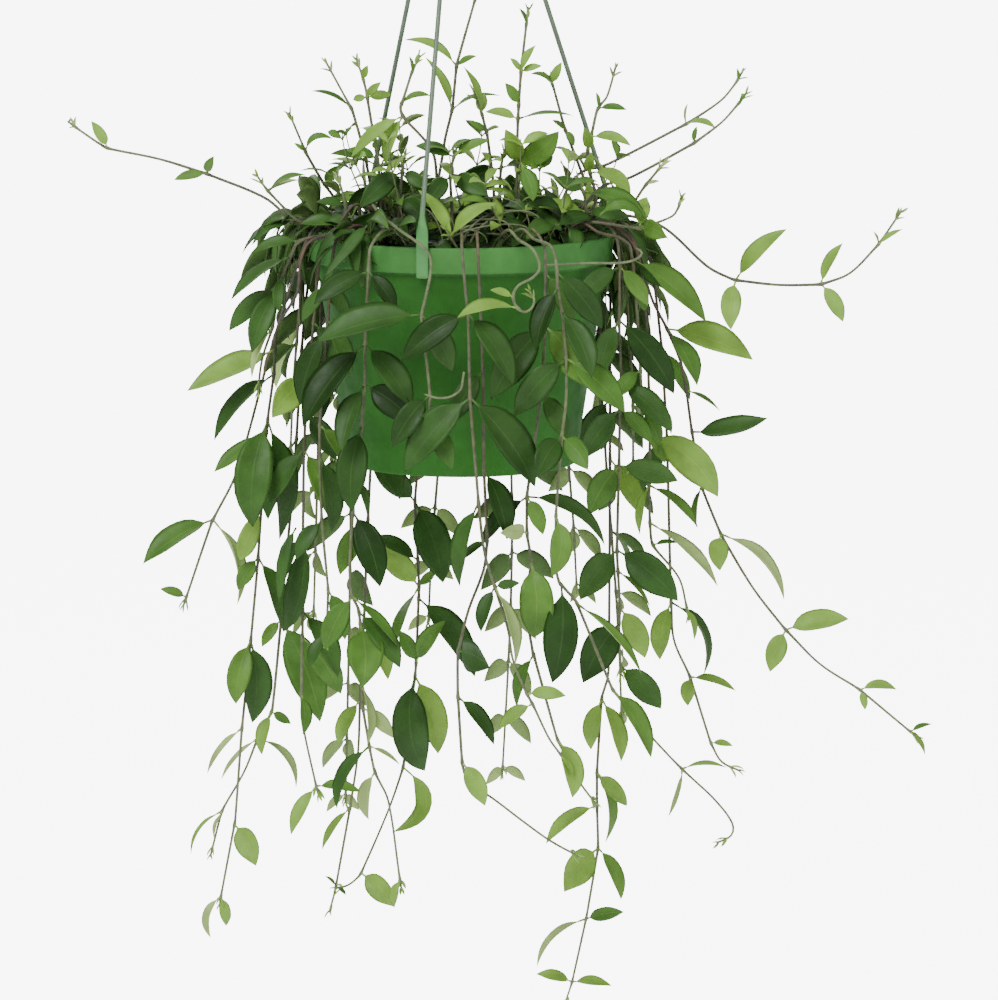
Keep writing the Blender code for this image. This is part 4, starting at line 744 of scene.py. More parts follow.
def smooth_line(line):
    """Points a small step apart through the ring centres, each with its thickness."""
    places = [place for place, _ in line]
    tangents = [(ahead - behind).normalized()
                for behind, ahead in zip(places[:1] + places, places[1:] + places[-1:])]
    tangents[1] = tangents[0]
    smooth = []
    for k in range(len(places) - 1):
        length = (places[k + 1] - places[k]).length
        handles = (places[k] + tangents[k] * (length / 3), places[k + 1] - tangents[k + 1] * (length / 3))
        steps = max(1, math.ceil(length / LINE_STEP))
        points = interpolate_bezier(places[k], *handles, places[k + 1], steps + 1)
        for number, point in enumerate(points[:-1]):
            part = number / steps
            smooth.append((point, line[k][1] * (1 - part) + line[k + 1][1] * part))
    smooth.append((places[-1], END_RADIUS))
    return smooth


def add_knuckles(smooth, leaves):
    """Thickens the line around the joints that carry leaves."""
    swollen = []
    for place, radius in smooth:
        near = min(((place - leaf.base).length for leaf in leaves), default=1.0)
        swell = 1 + (KNUCKLE - 1) * math.exp(-(near / KNUCKLE_REACH) ** 2)
        swollen.append((place, min(MOST_RADIUS, max(LEAST_RADIUS, radius * THINNING)) * swell))
    return swollen


line, leaves = stems["trail_06"]
print("trail_06: rings", len(line), "smooth points", len(smooth_line(line)), "leaves", len(leaves))

# %% Put the skeleton's numbers on a mesh
GREENING = 1.2
SKELETON_ONLY = ("is_leaf", "thickness", "leaf_width", "rib_base", "rib_middle", "rib_tip", "face")


def make_skeleton(name, lines, leaves, draw, fresh):
    """A chain of edges for each stem and a loose point for each leaf, with their numbers."""
    points = []
    edges = []
    green = []
    for line in lines:
        last = len(line) - 1
        edges += [(len(points) + k, len(points) + k + 1) for k in range(last)]
        points += line
        green += [max(fresh, min(1.0, (k / last) ** 2 * GREENING)) for k in range(last + 1)]
    mesh = bpy.data.meshes.new(name)
    mesh.from_pydata([tuple(place) for place, _ in points] + [(0, 0, 0)] * len(leaves), edges, [])
    no_leaf = [0.0] * len(points)
    no_stem = [0.0] * len(leaves)
    numbers = {
        "is_leaf": no_leaf + [1.0] * len(leaves),
        "thickness": [radius for _, radius in points] + no_stem,
        "green": green + no_stem,
        "leaf_width": no_leaf + [leaf.width for leaf in leaves],
        "age": no_leaf + [leaf.age for leaf in leaves],
        "pale": no_leaf + [leaf.pale for leaf in leaves],
        "draw": no_leaf + [draw.random() for _ in leaves],
    }
    for key, row in numbers.items():
        mesh.attributes.new(key, "FLOAT", "POINT").data.foreach_set("value", row)
    for key, part in (("rib_base", "base"), ("rib_middle", "middle"), ("rib_tip", "tip"), ("face", "face")):
        flat = no_leaf * 3 + [number for leaf in leaves for number in getattr(leaf, part)]
        mesh.attributes.new(key, "FLOAT_VECTOR", "POINT").data.foreach_set("vector", flat)
    return new_object(name, mesh)


def make_leafy(name, lines, leaves, leaf_blank, draw, sides=8, fresh=0.0):
    """A piece of stems and leaves that rides on the plant's one body. fresh is how green it all is."""
    piece = make_skeleton(name, lines, leaves, draw, fresh)
    leafy_tree.apply(piece, {"Leaf Blank": leaf_blank, "Stem Sides": sides, "Stem Finish": bark.material,
                             "Leaf Finish": wax.material})
    for key in SKELETON_ONLY:
        if key in piece.data.attributes:
            piece.data.attributes.remove(piece.data.attributes[key])
    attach(piece, "root")
    return piece


print("a finished piece drops", len(SKELETON_ONLY), "of the skeleton's numbers")

# %% [markdown]
# ## Leaves that the solids leave out
#
# A growing tip ends in one or two pairs of tiny, fresh leaves. They are too small for the packed
# solids, but without them each stem would end in a bare stick. So a pair is grown by rule: two
# leaves opposite each other, which lean along the stem, sag by their own weight, and face up and
# away from the pot.

# %% A pair of opposite leaves
BOX_MARGIN = 1 * MM
TIP_LEAF_SLIM = 0.26
# Each pair at a growing tip: its point of the stem, its turn, length, lean and sag.
TIP_PAIRS = ((-2, 0.0, 5 * MM, 2.4, 0.1), (-4, 1.5, 7 * MM, 1.6, 0.2))
ARCH_PART = 0.55
FACE_UP, FACE_OUT, FACE_SCATTER = 0.8, 0.7, 0.4


def upwards(height):
    return Vector((0, 0, height))


def inside_box(place):
    """The place, moved inside the solids' box where it would stand out of it."""
    return Vector([min(high - BOX_MARGIN, max(low + BOX_MARGIN, value))
                   for value, low, high in zip(place, *cad_box)])


def facing(base, tip, wanted):
    """The direction nearest to a wanted one that is square to the rib."""
    rib = (tip - base).normalized()
    return (wanted - rib * wanted.dot(rib)).normalized()


def rule_leaf(base, reach, length, sag, width, age, draw):
    """A leaf whose midrib and side are set by rule."""
    tip = inside_box(base + (reach - upwards(sag)).normalized() * length)
    middle = inside_box(base + reach * (ARCH_PART * length))
    outward = Vector((base.x, base.y, 0)).normalized()
    scatter = Vector([draw.uniform(-FACE_SCATTER, FACE_SCATTER) for _ in range(3)])
    wanted = upwards(FACE_UP) + outward * FACE_OUT + scatter
    return Leaf(base, middle, tip, facing(base, tip, wanted), width, age)


def leaf_pair(place, heading, turn, length, lean, sag, slim, age, draw):
    """Two leaves on either side of a joint. lean is how much they follow the stem."""
    side = heading.orthogonal().normalized()
    side.rotate(Matrix.Rotation(turn, 3, heading))
    pair = []
    for sign in (1, -1):
        reach = (side * sign + heading * lean).normalized()
        long = length * draw.uniform(0.8, 1.15)
        pair.append(rule_leaf(place, reach, long, sag * draw.uniform(0.6, 1.4), long * slim, age, draw))
    return pair


def tip_leaves(line, draw):
    """The fresh pairs at a stem's growing tip."""
    heading = (line[-1][0] - line[-4][0]).normalized()
    turn = draw.uniform(0, math.pi)
    pairs = []
    for point, twist, length, lean, sag in TIP_PAIRS:
        place = line[point][0]
        pairs += leaf_pair(place, heading, turn + twist, length, lean, sag, TIP_LEAF_SLIM, YOUNG, draw)
    return pairs


print("box margin", BOX_MARGIN)

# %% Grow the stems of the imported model
RIM_LEAF_REACH = 60 * MM
RIM_LEAF_DROP = 45 * MM
RIM_LEAF_SLIM = 0.86
EDGE_ON_SLIM = 0.74
FULL_FACE = 0.9
# The tip's pixel of each leaf that is rolled up, and the part of its width that is left.
ROLLED_LEAVES = [
    (351, 158, 0.55), (463, 66, 0.75), (425, 57, 0.8), (574, 116, 0.45), (501, 96, 0.55), (311, 91, 0.5),
    (431, 96, 0.75), (333, 139, 0.8), (718, 587, 0.75), (642, 675, 0.7), (207, 774, 0.65), (221, 780, 0.6),
    (322, 850, 0.65), (291, 835, 0.75), (191, 855, 0.5), (546, 844, 0.7), (537, 967, 0.65), (621, 900, 0.7),
    (668, 817, 0.6), (690, 400, 0.6), (640, 535, 0.7), (395, 650, 0.75), (650, 607, 0.6), (720, 411, 0.6),
    (400, 765, 0.6), (727, 768, 0.6), (296, 788, 0.7), (211, 938, 0.7), (404, 40, 0.8), (603, 545, 0.65),
]
FRESH_KINDS = {"shoot": 0.4, "runner": 0.4}
FRESH_STEMS = {"trail_06": 0.7, "trail_09": 0.85, "trail_13": 0.75, "trail_20": 1.0, "trail_04": 0.3,
               "trail_14": 0.4, "trail_10": 0.5, "trail_11": 0.35, "trail_12": 0.5}


def seen_part(leaf):
    """How much narrower a leaf is where the photograph shows it edge-on or rolled up."""
    frontal = min(1.0, abs(leaf.face.dot(SIGHT)) / FULL_FACE)
    rolled = next((part for u, v, part in ROLLED_LEAVES if pixels_off(leaf, u, v) < TIP_MISS), 1.0)
    return (EDGE_ON_SLIM + (1 - EDGE_ON_SLIM) * frontal) * rolled


def grow_leafy_stem(node, seed):
    """Makes one leafy stem's fine piece in place of its solid."""
    line, leaves = stems[node]
    kind = node.split("_")[0]
    draw = random.Random(seed)
    for leaf in leaves:
        if abs(leaf.base.x) > RIM_LEAF_REACH and leaf.base.z > RIM_TOP - RIM_LEAF_DROP:
            leaf.width *= RIM_LEAF_SLIM
        if kind != "far":
            leaf.width *= seen_part(leaf)
    smooth = add_knuckles(smooth_line(line), leaves)
    fresh = FRESH_STEMS.get(node, FRESH_KINDS.get(kind, 0.0))
    piece = make_leafy(node + "_fine", [smooth], leaves + tip_leaves(smooth, draw), blank, draw, fresh=fresh)
    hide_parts(node)
    return piece


pieces = [grow_leafy_stem(node, number) for number, node in enumerate(leafy)]
print("leafy stems", len(pieces), "faces", sum(len(piece.data.polygons) for piece in pieces))

# %% [markdown]
# ## The pot
#
# A hanging pot like this one is moulded in one shot of plastic: a tapered wall, a rim turned down
# as a skirt, and drain holes in the floor. A turned shape needs only its outline. The corners of a
# moulded piece are never sharp, so each corner of the outline becomes a small arc before the
# outline is turned.

# %% Turned shapes with rounded corners
POT_SIDES = 144
CORNER_STEPS = 4
# How much of the side next to it a corner's arc may take.
ARC_PART = 0.45


def rounded(outline, radius):
    """An outline whose inner corners are small arcs. Points are (distance from the axis, height)."""
    points = [Vector(outline[0])]
    for before, corner, after in zip(outline, outline[1:], outline[2:]):
        corner = Vector(corner)
        back = Vector(before) - corner
        ahead = Vector(after) - corner
        reach = min(radius, back.length * ARC_PART, ahead.length * ARC_PART)
        start = corner + back.normalized() * reach
        end = corner + ahead.normalized() * reach
        for step in range(CORNER_STEPS + 1):
            part = step / CORNER_STEPS
            points.append(start.lerp(corner, part).lerp(corner.lerp(end, part), part))
    points.append(Vector(outline[-1]))
    return points


def turned(shape, outline, sides):
    """Turns an outline that starts and ends on the axis into a closed shape."""
    rings = []
    for reach, height in outline[1:-1]:
        spots = [(reach * math.sin(turn), -reach * math.cos(turn), height) for turn in turns(sides)]
        rings.append([shape.verts.new(spot) for spot in spots])
    first = shape.verts.new((0, 0, outline[0][1]))
    last = shape.verts.new((0, 0, outline[-1][1]))
    for side in range(sides):
        after = (side + 1) % sides
        shape.faces.new((first, rings[0][after], rings[0][side]))
        shape.faces.new((last, rings[-1][side], rings[-1][after]))
        for lower, upper in zip(rings, rings[1:]):
            shape.faces.new(band(lower, upper, side))


def smooth_object(name, shape, finish, sharp=35):
    """Makes a smooth-shaded object of a shape, with its finish."""
    mesh = bpy.data.meshes.new(name)
    shape.to_mesh(mesh)
    shape.free()
    mesh.materials.append(finish.material)
    mesh.shade_smooth()
    mesh.set_sharp_from_angle(angle=math.radians(sharp))
    return new_object(name, mesh)


print("turning tools ready")

# %% The pot's finish
POT_PLASTIC = (0.027, 0.134, 0.016, 1)
# The rim band is a lighter green than the wall: a painted highlight where the rim catches the light.
RIM_HIGHLIGHT_GREEN = (0.066, 0.226, 0.050, 1)

pot_plastic = Finish("pot_plastic")
# The band above the skirt's lower edge takes the painted highlight.
rim_highlight_part = pot_plastic.height().fit(RIM_TOP - 14.5 * MM, RIM_TOP - 12.5 * MM)
plastic = pot_plastic.mottled(pot_plastic.mix(rim_highlight_part, POT_PLASTIC, RIM_HIGHLIGHT_GREEN), 45 * MM, 0.80, 1.20)
pot_plastic.shade("Base Color", pot_plastic.mottled(plastic, 4 * MM, 0.96, 1.04))
pot_plastic.shade("Roughness", pot_plastic.grain(11 * MM).fit(0.35, 0.65, 0.52, 0.68))
pot_plastic.shade("Specular IOR Level", 0.16)
pot_plastic.bump(pot_plastic.grain(0.6 * MM), 0.18, 0.2 * MM)
print("pot finish nodes", len(pot_plastic.tree.nodes))

# %% The pot's outline, turned
POT_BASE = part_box("pot")[0].z
RIM_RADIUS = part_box("pot")[1].x
RIM_SKIRT = 12.5 * MM
SKIRT_WALL = 1.3 * MM
NECK_RADIUS = 72.2 * MM
BASE_RADIUS = 57 * MM
POT_WALL = 1.6 * MM
FOOT_RISE = 1.8 * MM
FLOOR_TOP = POT_BASE + 3.6 * MM
POT_CORNER = 0.9 * MM

pot_outline = [
    (0, POT_BASE + FOOT_RISE),
    (BASE_RADIUS - 7 * MM, POT_BASE + FOOT_RISE),
    (BASE_RADIUS - 8.5 * MM, POT_BASE),
    (BASE_RADIUS, POT_BASE),
    (NECK_RADIUS, RIM_TOP - RIM_SKIRT),
    (NECK_RADIUS, RIM_TOP - POT_WALL),
    (RIM_RADIUS - SKIRT_WALL, RIM_TOP - POT_WALL),
    (RIM_RADIUS - SKIRT_WALL, RIM_TOP - RIM_SKIRT),
    (RIM_RADIUS, RIM_TOP - RIM_SKIRT),
    (RIM_RADIUS - 0.5 * MM, RIM_TOP),
    (NECK_RADIUS - POT_WALL, RIM_TOP),
    (NECK_RADIUS - POT_WALL, RIM_TOP - RIM_SKIRT),
    (BASE_RADIUS - POT_WALL, FLOOR_TOP),
    (0, FLOOR_TOP),
]
shape = bmesh.new()
turned(shape, rounded(pot_outline, POT_CORNER), POT_SIDES)
pot_piece = smooth_object("pot_fine", shape, pot_plastic)
print("pot faces", len(pot_piece.data.polygons))

# %% [markdown]
# The drain holes are a ring of six. One tree makes their cutters: a cylinder on each point of a
# circle. A Boolean then takes the cutters out of the floor.

# %% Drain holes
CUTTER_SIDES = 20
CUTTER_HEIGHT = 16 * MM
DRAIN_TURN = math.radians(30)

drain = Group("drain_holes", "Geometry", {
    "Geometry": "Geometry", "Holes": 6, "Circle": 32 * MM, "Radius": 2.6 * MM, "Finish": "Material"})
given = drain.given
hole_circle = drain.add("MeshCircle", given["Holes"], given["Circle"])
hole_cutter = drain.add("MeshCylinder", CUTTER_SIDES, 1, 1, given["Radius"], CUTTER_HEIGHT)
holes = drain.add("InstanceOnPoints", hole_circle, named={"Instance": hole_cutter})
holes = drain.add("RealizeInstances", holes)
drain.give(Geometry=drain.add("SetMaterial", holes, named={"Material": given["Finish"]}))
cutters = drain.apply(new_object("cutters", bpy.data.meshes.new("cutters")), {"Finish": pot_plastic.material})
cutters.data.transform(Matrix.Translation((0, 0, POT_BASE)) @ Matrix.Rotation(DRAIN_TURN, 4, "Z"))
cut = pot_piece.modifiers.new("drain", "BOOLEAN")
cut.object = cutters
cut.operation = "DIFFERENCE"
bake(pot_piece)
bpy.data.objects.remove(cutters)
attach(pot_piece, "root")
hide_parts("pot")
print("pot with holes, faces", len(pot_piece.data.polygons))

# %% [markdown]
# ## The soil
#
# Potting soil is a dark, moist crumb with bits of bark and fibre. A flat disc would look like
# paint, so the surface rolls by a millimetre or two, and a tree strews crumbs over it. Each crumb
# is a coarse ball whose corners noise has pushed about.

# %% The soil's finish
SOIL_DARK = (0.012, 0.008, 0.005, 1)
SOIL_BARK = (0.085, 0.036, 0.016, 1)

soil = Finish("moist_soil")
crumb_color = soil.mix(soil.read("crumb").fit(0.55, 1.0), SOIL_DARK, SOIL_BARK)
soil.shade("Base Color", soil.mottled(crumb_color, 3 * MM, 0.6, 1.5))
soil_grain = soil.grain(1.2 * MM)
soil.shade("Roughness", soil_grain.fit(*NOISE_SPAN, 0.7, 0.95))
soil.bump(soil_grain, 0.9, 0.8 * MM)
print("soil finish nodes", len(soil.tree.nodes))

# %% The soil's body
SOIL_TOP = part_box("soil")[1].z
SOIL_BOTTOM = POT_BASE + 4 * MM
SOIL_REACH = NECK_RADIUS - POT_WALL - 0.3 * MM
SOIL_RINGS = 30
SOIL_SIDES = 96
TOP_MARGIN = 0.1 * MM
# Height and width of its humps, and of the lumps on them.
SOIL_ROLL = ((2.2 * MM, 9 * MM), (0.9 * MM, 2.5 * MM))

soil_outline = [(0, SOIL_BOTTOM), (BASE_RADIUS - POT_WALL - 0.5 * MM, SOIL_BOTTOM),
                (SOIL_REACH, RIM_TOP - RIM_SKIRT)]
soil_outline += [(SOIL_REACH * (1 - k / SOIL_RINGS), SOIL_TOP) for k in range(SOIL_RINGS)]
shape = bmesh.new()
turned(shape, soil_outline + [(0, SOIL_TOP)], SOIL_SIDES)
for corner in shape.verts:
    if corner.co.z > SOIL_TOP - TOP_MARGIN:
        corner.co.z += sum(height * noise.noise(corner.co / width) for height, width in SOIL_ROLL)
soil_piece = smooth_object("soil_fine", shape, soil, sharp=60)
print("soil body faces", len(soil_piece.data.polygons))

# %% Crumbs strewn over the soil
CRUMB_ROUGHNESS = 1.6 * MM
CRUMB_LUMPS_A_METRE = 900.0

crumb_tree = Group("crumbs", "Geometry", {
    "Soil": "Geometry", "Density": 110000.0, "Smallest": 0.5 * MM, "Largest": 2.1 * MM,
    "Lowest": SOIL_TOP - 4 * MM, "Seed": 4, "Finish": "Material"})
given = crumb_tree.given


def chance(low, high, seed, **settings):
    """A value that differs from crumb to crumb."""
    return crumb_tree.add("FunctionNodeRandomValue", low, high, None, seed, **settings)


height = crumb_tree.add("ShaderNodeSeparateXYZ", crumb_tree.add("InputPosition"), out="Z")
spots = crumb_tree.add("DistributePointsOnFaces", named={
    "Mesh": given["Soil"], "Selection": height.maths("GREATER_THAN", given["Lowest"]),
    "Density": given["Density"], "Seed": given["Seed"]})
ball = crumb_tree.add("MeshIcoSphere", 1.0, 1)
size = chance(given["Smallest"], given["Largest"], given["Seed"]) * chance(0.35, 1.0, 11)
squash = chance((0.5, 0.4, 0.3), (1.3, 1.0, 0.7), 12, data_type="FLOAT_VECTOR")
spin = chance((0, 0, 0), (6.3, 6.3, 6.3), 13, data_type="FLOAT_VECTOR")
crumbs = crumb_tree.add("InstanceOnPoints", spots, named={
    "Instance": ball, "Rotation": spin, "Scale": squash * size})
crumbs = crumb_tree.add("StoreNamedAttribute", crumbs, None, "crumb", chance(0.0, 1.0, 14),
                        data_type="FLOAT", domain="INSTANCE")
crumbs = crumb_tree.add("RealizeInstances", crumbs)
rough = crumb_tree.add("ShaderNodeTexNoise", named={"Scale": CRUMB_LUMPS_A_METRE, "Detail": 1.0}, out="Color")
rough = (rough - (0.5, 0.5, 0.5)) * CRUMB_ROUGHNESS
crumbs = crumb_tree.add("SetPosition", crumbs, named={"Offset": rough})
crumbs = crumb_tree.add("SetMaterial", crumbs, named={"Material": given["Finish"]})
crumb_tree.give_all(crumbs, given["Soil"])
crumb_tree.apply(soil_piece, {"Finish": soil.material})
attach(soil_piece, "root")
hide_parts("soil")
print("soil faces", len(soil_piece.data.polygons))

# %% [markdown]
# ## The tangle over the soil
#
# On the real plant hardly any soil shows. Short stems with dark leaves fill the space between the
# long ones, narrow leaves hang over the rim, and thin fresh sprouts stand up out of it all. These
# have no solids of their own, because they would cost more faces than they are worth. Each kind
# follows a rule: where it starts, which way it heads, how it bends, and how its leaves sit. A fixed
# seed picks the rest, so the plant is the same every time.

# %% Rules that keep stems and leaves off the pot
POT_CLEARANCE = 2.5 * MM
INSIDE_REACH = NECK_RADIUS - POT_WALL - POT_CLEARANCE
OUTSIDE_REACH = RIM_RADIUS + POT_CLEARANCE
UNDER_SOIL = SOIL_TOP - 2 * MM
TAPER = 0.55
TOP_HANDLE = 0.3


def off_the_pot(place, inside=False):
    """The place, moved out of the pot's wall and out of the soil. inside keeps it within the rim."""
    reach = math.hypot(place.x, place.y)
    height = place.z
    if height < RIM_TOP + POT_CLEARANCE and reach > INSIDE_REACH and (inside or reach < OUTSIDE_REACH):
        wanted = OUTSIDE_REACH if reach > NECK_RADIUS and not inside else INSIDE_REACH
        place = Vector((place.x * wanted / reach, place.y * wanted / reach, height))
    if math.hypot(place.x, place.y) < NECK_RADIUS:
        place.z = max(height, UNDER_SOIL)
    return inside_box(place)


def around(azimuth, reach, height):
    """The place at an angle around the pot, 0 at the front and 90 at the right."""
    turn = math.radians(azimuth)
    return Vector((math.sin(turn) * reach, -math.cos(turn) * reach, height))


def upright(start, top, rise, first_part):
    """The four handles of a stem that leaves the soil straight up and arrives at its top from below."""
    return start, start + upwards(rise * first_part), top - upwards(rise * TOP_HANDLE), top


def bent_line(handles, radius, steps):
    """A stem through a smooth curve of four handles, thinner towards its end."""
    places = interpolate_bezier(*handles, steps)
    return [(off_the_pot(place), radius * (1 - TAPER * (k / (steps - 1)))) for k, place in enumerate(places)]


print("leaves inside keep to", round(INSIDE_REACH * 1000, 1), "mm from the axis")

# %% Stems by rule, dressed with leaves
GOLDEN_ANGLE = 137.5
THIN_STEM_SIDES = 6
FOOT_LEAF_SIZE = 1.1
LEAF_SIZE_LOSS = 0.4


def dress(line, draw, first, gap, length, lean, sag, slim, ages):
    """Leaf pairs along a line, from its first joint on, each turned against the last."""
    pairs = []
    turn = draw.uniform(0, math.pi)
    for k in range(first, len(line) - 1, gap):
        heading = (line[k][0] - line[k - 1][0]).normalized()
        size = length * draw.uniform(0.75, 1.15) * (FOOT_LEAF_SIZE - LEAF_SIZE_LOSS * (k / len(line)))
        pairs += leaf_pair(line[k][0], heading, turn, size, lean, sag, slim, draw.choice(ages), draw)
        turn += math.pi / 2 + draw.uniform(-0.4, 0.4)
    for leaf in pairs:
        inside = math.hypot(leaf.base.x, leaf.base.y) < NECK_RADIUS
        leaf.tip = off_the_pot(leaf.tip, inside)
        leaf.middle = off_the_pot(leaf.middle, inside)
    return pairs


def grow_tangle(name, seed, rule, radius, steps, fresh=0.0, **habit):
    """One piece of all the stems that a rule lays out, with leaves of one habit."""
    draw = random.Random(seed)
    lines = []
    leaves = []
    for handles in rule(draw):
        lines.append(bent_line(handles, radius, steps))
        leaves += dress(lines[-1], draw, **habit)
    piece = make_leafy(name, lines, leaves, small_blank, draw, THIN_STEM_SIDES, fresh)
    print(name, "stems", len(lines), "leaves", len(leaves))


print("stems that are spread evenly stand", GOLDEN_ANGLE, "degrees on from each other")

# %% Dark leaves over the soil, most of them with painted shade
UNDERGROWTH_STEMS = 40
UNDERGROWTH_REACH = 60 * MM


def over_the_soil(draw):
    """Short stems spread evenly over the soil, leaning outwards."""
    for number in range(UNDERGROWTH_STEMS):
        azimuth = number * GOLDEN_ANGLE + draw.uniform(-20, 20)
        reach = UNDERGROWTH_REACH * math.sqrt((number + 0.5) / UNDERGROWTH_STEMS)
        height = draw.uniform(7, 24) * MM
        lean_out = draw.uniform(4, 16) * MM
        top = around(azimuth + draw.uniform(-25, 25), reach + lean_out, SOIL_TOP + height)
        yield upright(around(azimuth, reach, UNDER_SOIL), top, height, 0.5)


# Most of these leaves get painted shade: a green darker than an old leaf's, for leaves that lie under the
# others.
grow_tangle("undergrowth", 31, over_the_soil, 0.7 * MM, 11, first=3, gap=3, length=31 * MM, lean=0.35,
            sag=0.45, slim=0.36, ages=(PAINTED_SHADE, PAINTED_SHADE, OLD))

# %% Narrow leaves over the rim, mostly at both sides and behind
# Each sector's first and last angle, its stems, and their longest drop in mm.
RIM_SECTORS = ((-128, -78, 9, 58), (-50, -34, 2, 14), (82, 128, 9, 58), (132, 228, 14, 58))


def over_the_rim(draw):
    """Stems that climb out of the soil, cross the rim and hang down outside it."""
    for first, last, count, longest in RIM_SECTORS:
        for number in range(count):
            azimuth = first + (last - first) * (number + 0.5) / count + draw.uniform(-3, 3)
            drop = draw.uniform(4, longest) * MM
            spread = draw.uniform(5, 20) * MM
            start = around(azimuth, draw.uniform(48, 62) * MM, SOIL_TOP)
            over = around(azimuth, RIM_RADIUS - 3 * MM, RIM_TOP + draw.uniform(9, 22) * MM)
            outside = around(azimuth, RIM_RADIUS + spread, RIM_TOP + draw.uniform(4, 12) * MM)
            end = around(azimuth + draw.uniform(-5, 5), RIM_RADIUS + spread, RIM_TOP - drop)
            yield start, over, outside, end


grow_tangle("rim_leaves", 47, over_the_rim, 0.8 * MM, 26, first=8, gap=6, length=36 * MM, lean=0.65,
            sag=0.9, slim=0.28, ages=(OLD, OLD, OLD, 0.2, HALF_GROWN))

# %% Fresh sprouts
SPROUTS = 24


def out_of_the_soil(draw):
    """Thin stems that stand up out of the soil."""
    for number in range(SPROUTS):
        azimuth = number * GOLDEN_ANGLE + draw.uniform(-15, 15)
        reach = draw.uniform(30, 66) * MM
        height = draw.uniform(28, 62) * MM
        top = around(azimuth + draw.uniform(-20, 20), reach + draw.uniform(2, 26) * MM, SOIL_TOP + height)
        yield upright(around(azimuth, reach, SOIL_TOP), top, height, 0.4)


grow_tangle("young_sprouts", 58, out_of_the_soil, 0.62 * MM, 16, fresh=0.6, first=6, gap=4, length=20 * MM,
            lean=0.8, sag=0.35, slim=0.36, ages=(YOUNG, YOUNG, HALF_GROWN))

# %% [markdown]
# A few bare, green stems wander over the rim where the photograph shows them. Each is laid out by
# the pixels that it crosses and by how far in front of the axis it hangs, and ends in a curl. Over
# the soil more of them cross each other as they like. A few loose leaves are laid out the same way.

# %% Bare stems
WANDERERS = [
    ((547, 265, -80), (570, 264, -82), (593, 263, -83), (617, 263, -83), (634, 260, -82), (642, 253, -81),
     (636, 248, -80)),
    ((464, 372, -96), (462, 386, -98), (452, 396, -99), (438, 398, -99), (424, 394, -98)),
]
WANDERER_RADIUS = 0.62 * MM
WIRY_STEMS = 26
WIRY_RADIUS = 0.75 * MM
WIRY_STEPS = 20
WIRY_END_LIFT = 0.6
WIRY_FRESH = 0.95
# Base, middle and tip as pixels and depth, the width in pixels, and the age.
LOOSE_LEAVES = [
    ((521, 163, -40), (530, 184, -46), (533, 202, -56), 18, HALF_GROWN),
    ((367, 226, -62), (352, 244, -68), (322, 281, -78), 13, OLD),
    ((296, 528, -40), (284, 560, -46), (279, 606, -44), 13, OLD),
    ((600, 215, -62), (622, 205, -66), (645, 219, -60), 13, HALF_GROWN),
]
PIXEL = 0.5 * MM
LOOSE_LEAF_UP = 0.5


def from_photo(u, v, depth):
    """The place at y = depth (mm) that a pixel shows."""
    across = RIGHT * ((u - PHOTO_WIDTH / 2) / FOCAL_PIXELS)
    ray = SIGHT + across + UP * ((PHOTO_HEIGHT / 2 - v) / FOCAL_PIXELS)
    return EYE + ray * ((depth * MM - EYE.y) / ray.y)


def loose_leaf(base, middle, tip, width, age):
    """A leaf laid out by pixels, facing up and towards the camera."""
    base, middle, tip = [from_photo(*spot) for spot in (base, middle, tip)]
    face = facing(base, tip, upwards(LOOSE_LEAF_UP) - SIGHT)
    return Leaf(base, middle * 2 - (base + tip) / 2, tip, face, width * PIXEL, age)


draw = random.Random(73)
leaves = [loose_leaf(*row) for row in LOOSE_LEAVES]
lines = [smooth_line([(from_photo(*spot), WANDERER_RADIUS) for spot in row]) for row in WANDERERS]
for number in range(WIRY_STEMS):
    azimuth = draw.uniform(-70, 80)
    start = around(azimuth, draw.uniform(15, 60) * MM, SOIL_TOP)
    azimuth += draw.uniform(30, 80)
    end = around(azimuth, draw.uniform(40, 66) * MM, SOIL_TOP + draw.uniform(4, 18) * MM)
    lift = upwards(draw.uniform(12, 38) * MM)
    lines.append(bent_line((start, start + lift, end + lift * WIRY_END_LIFT, end), WIRY_RADIUS, WIRY_STEPS))
bare_stems = make_leafy("bare_stems", lines, leaves, small_blank, draw, THIN_STEM_SIDES, WIRY_FRESH)
bpy.data.objects.remove(blank)
bpy.data.objects.remove(small_blank)
print("bare stems", len(lines))

# %% [markdown]
# ## The hanger
#
# Each strand is a thin round rod that widens into a flat strap, and the strap clips under the rim.
# A loft suits a shape whose section changes along its way: one ring of corners per station, round
# at the strand and flat at the strap.

# %% The hanger's finish
STRAND_PLASTIC = (0.114, 0.170, 0.106, 1)
STRAP_PLASTIC = (0.080, 0.280, 0.075, 1)

hanger = Finish("hanger_plastic")
strap_part = hanger.height().fit(RIM_TOP + 26 * MM, RIM_TOP + 8 * MM)
plastic = hanger.mix(strap_part, STRAND_PLASTIC, STRAP_PLASTIC)
hanger.shade("Base Color", hanger.mottled(plastic, 10 * MM, 0.9, 1.1))
hanger.shade("Roughness", hanger.grain(6 * MM).fit(*NOISE_SPAN, 0.28, 0.42))
print("hanger finish nodes", len(hanger.tree.nodes))

# %% Lofts
LOFT_SIDES = 16
FLAT_POWER = 4.0


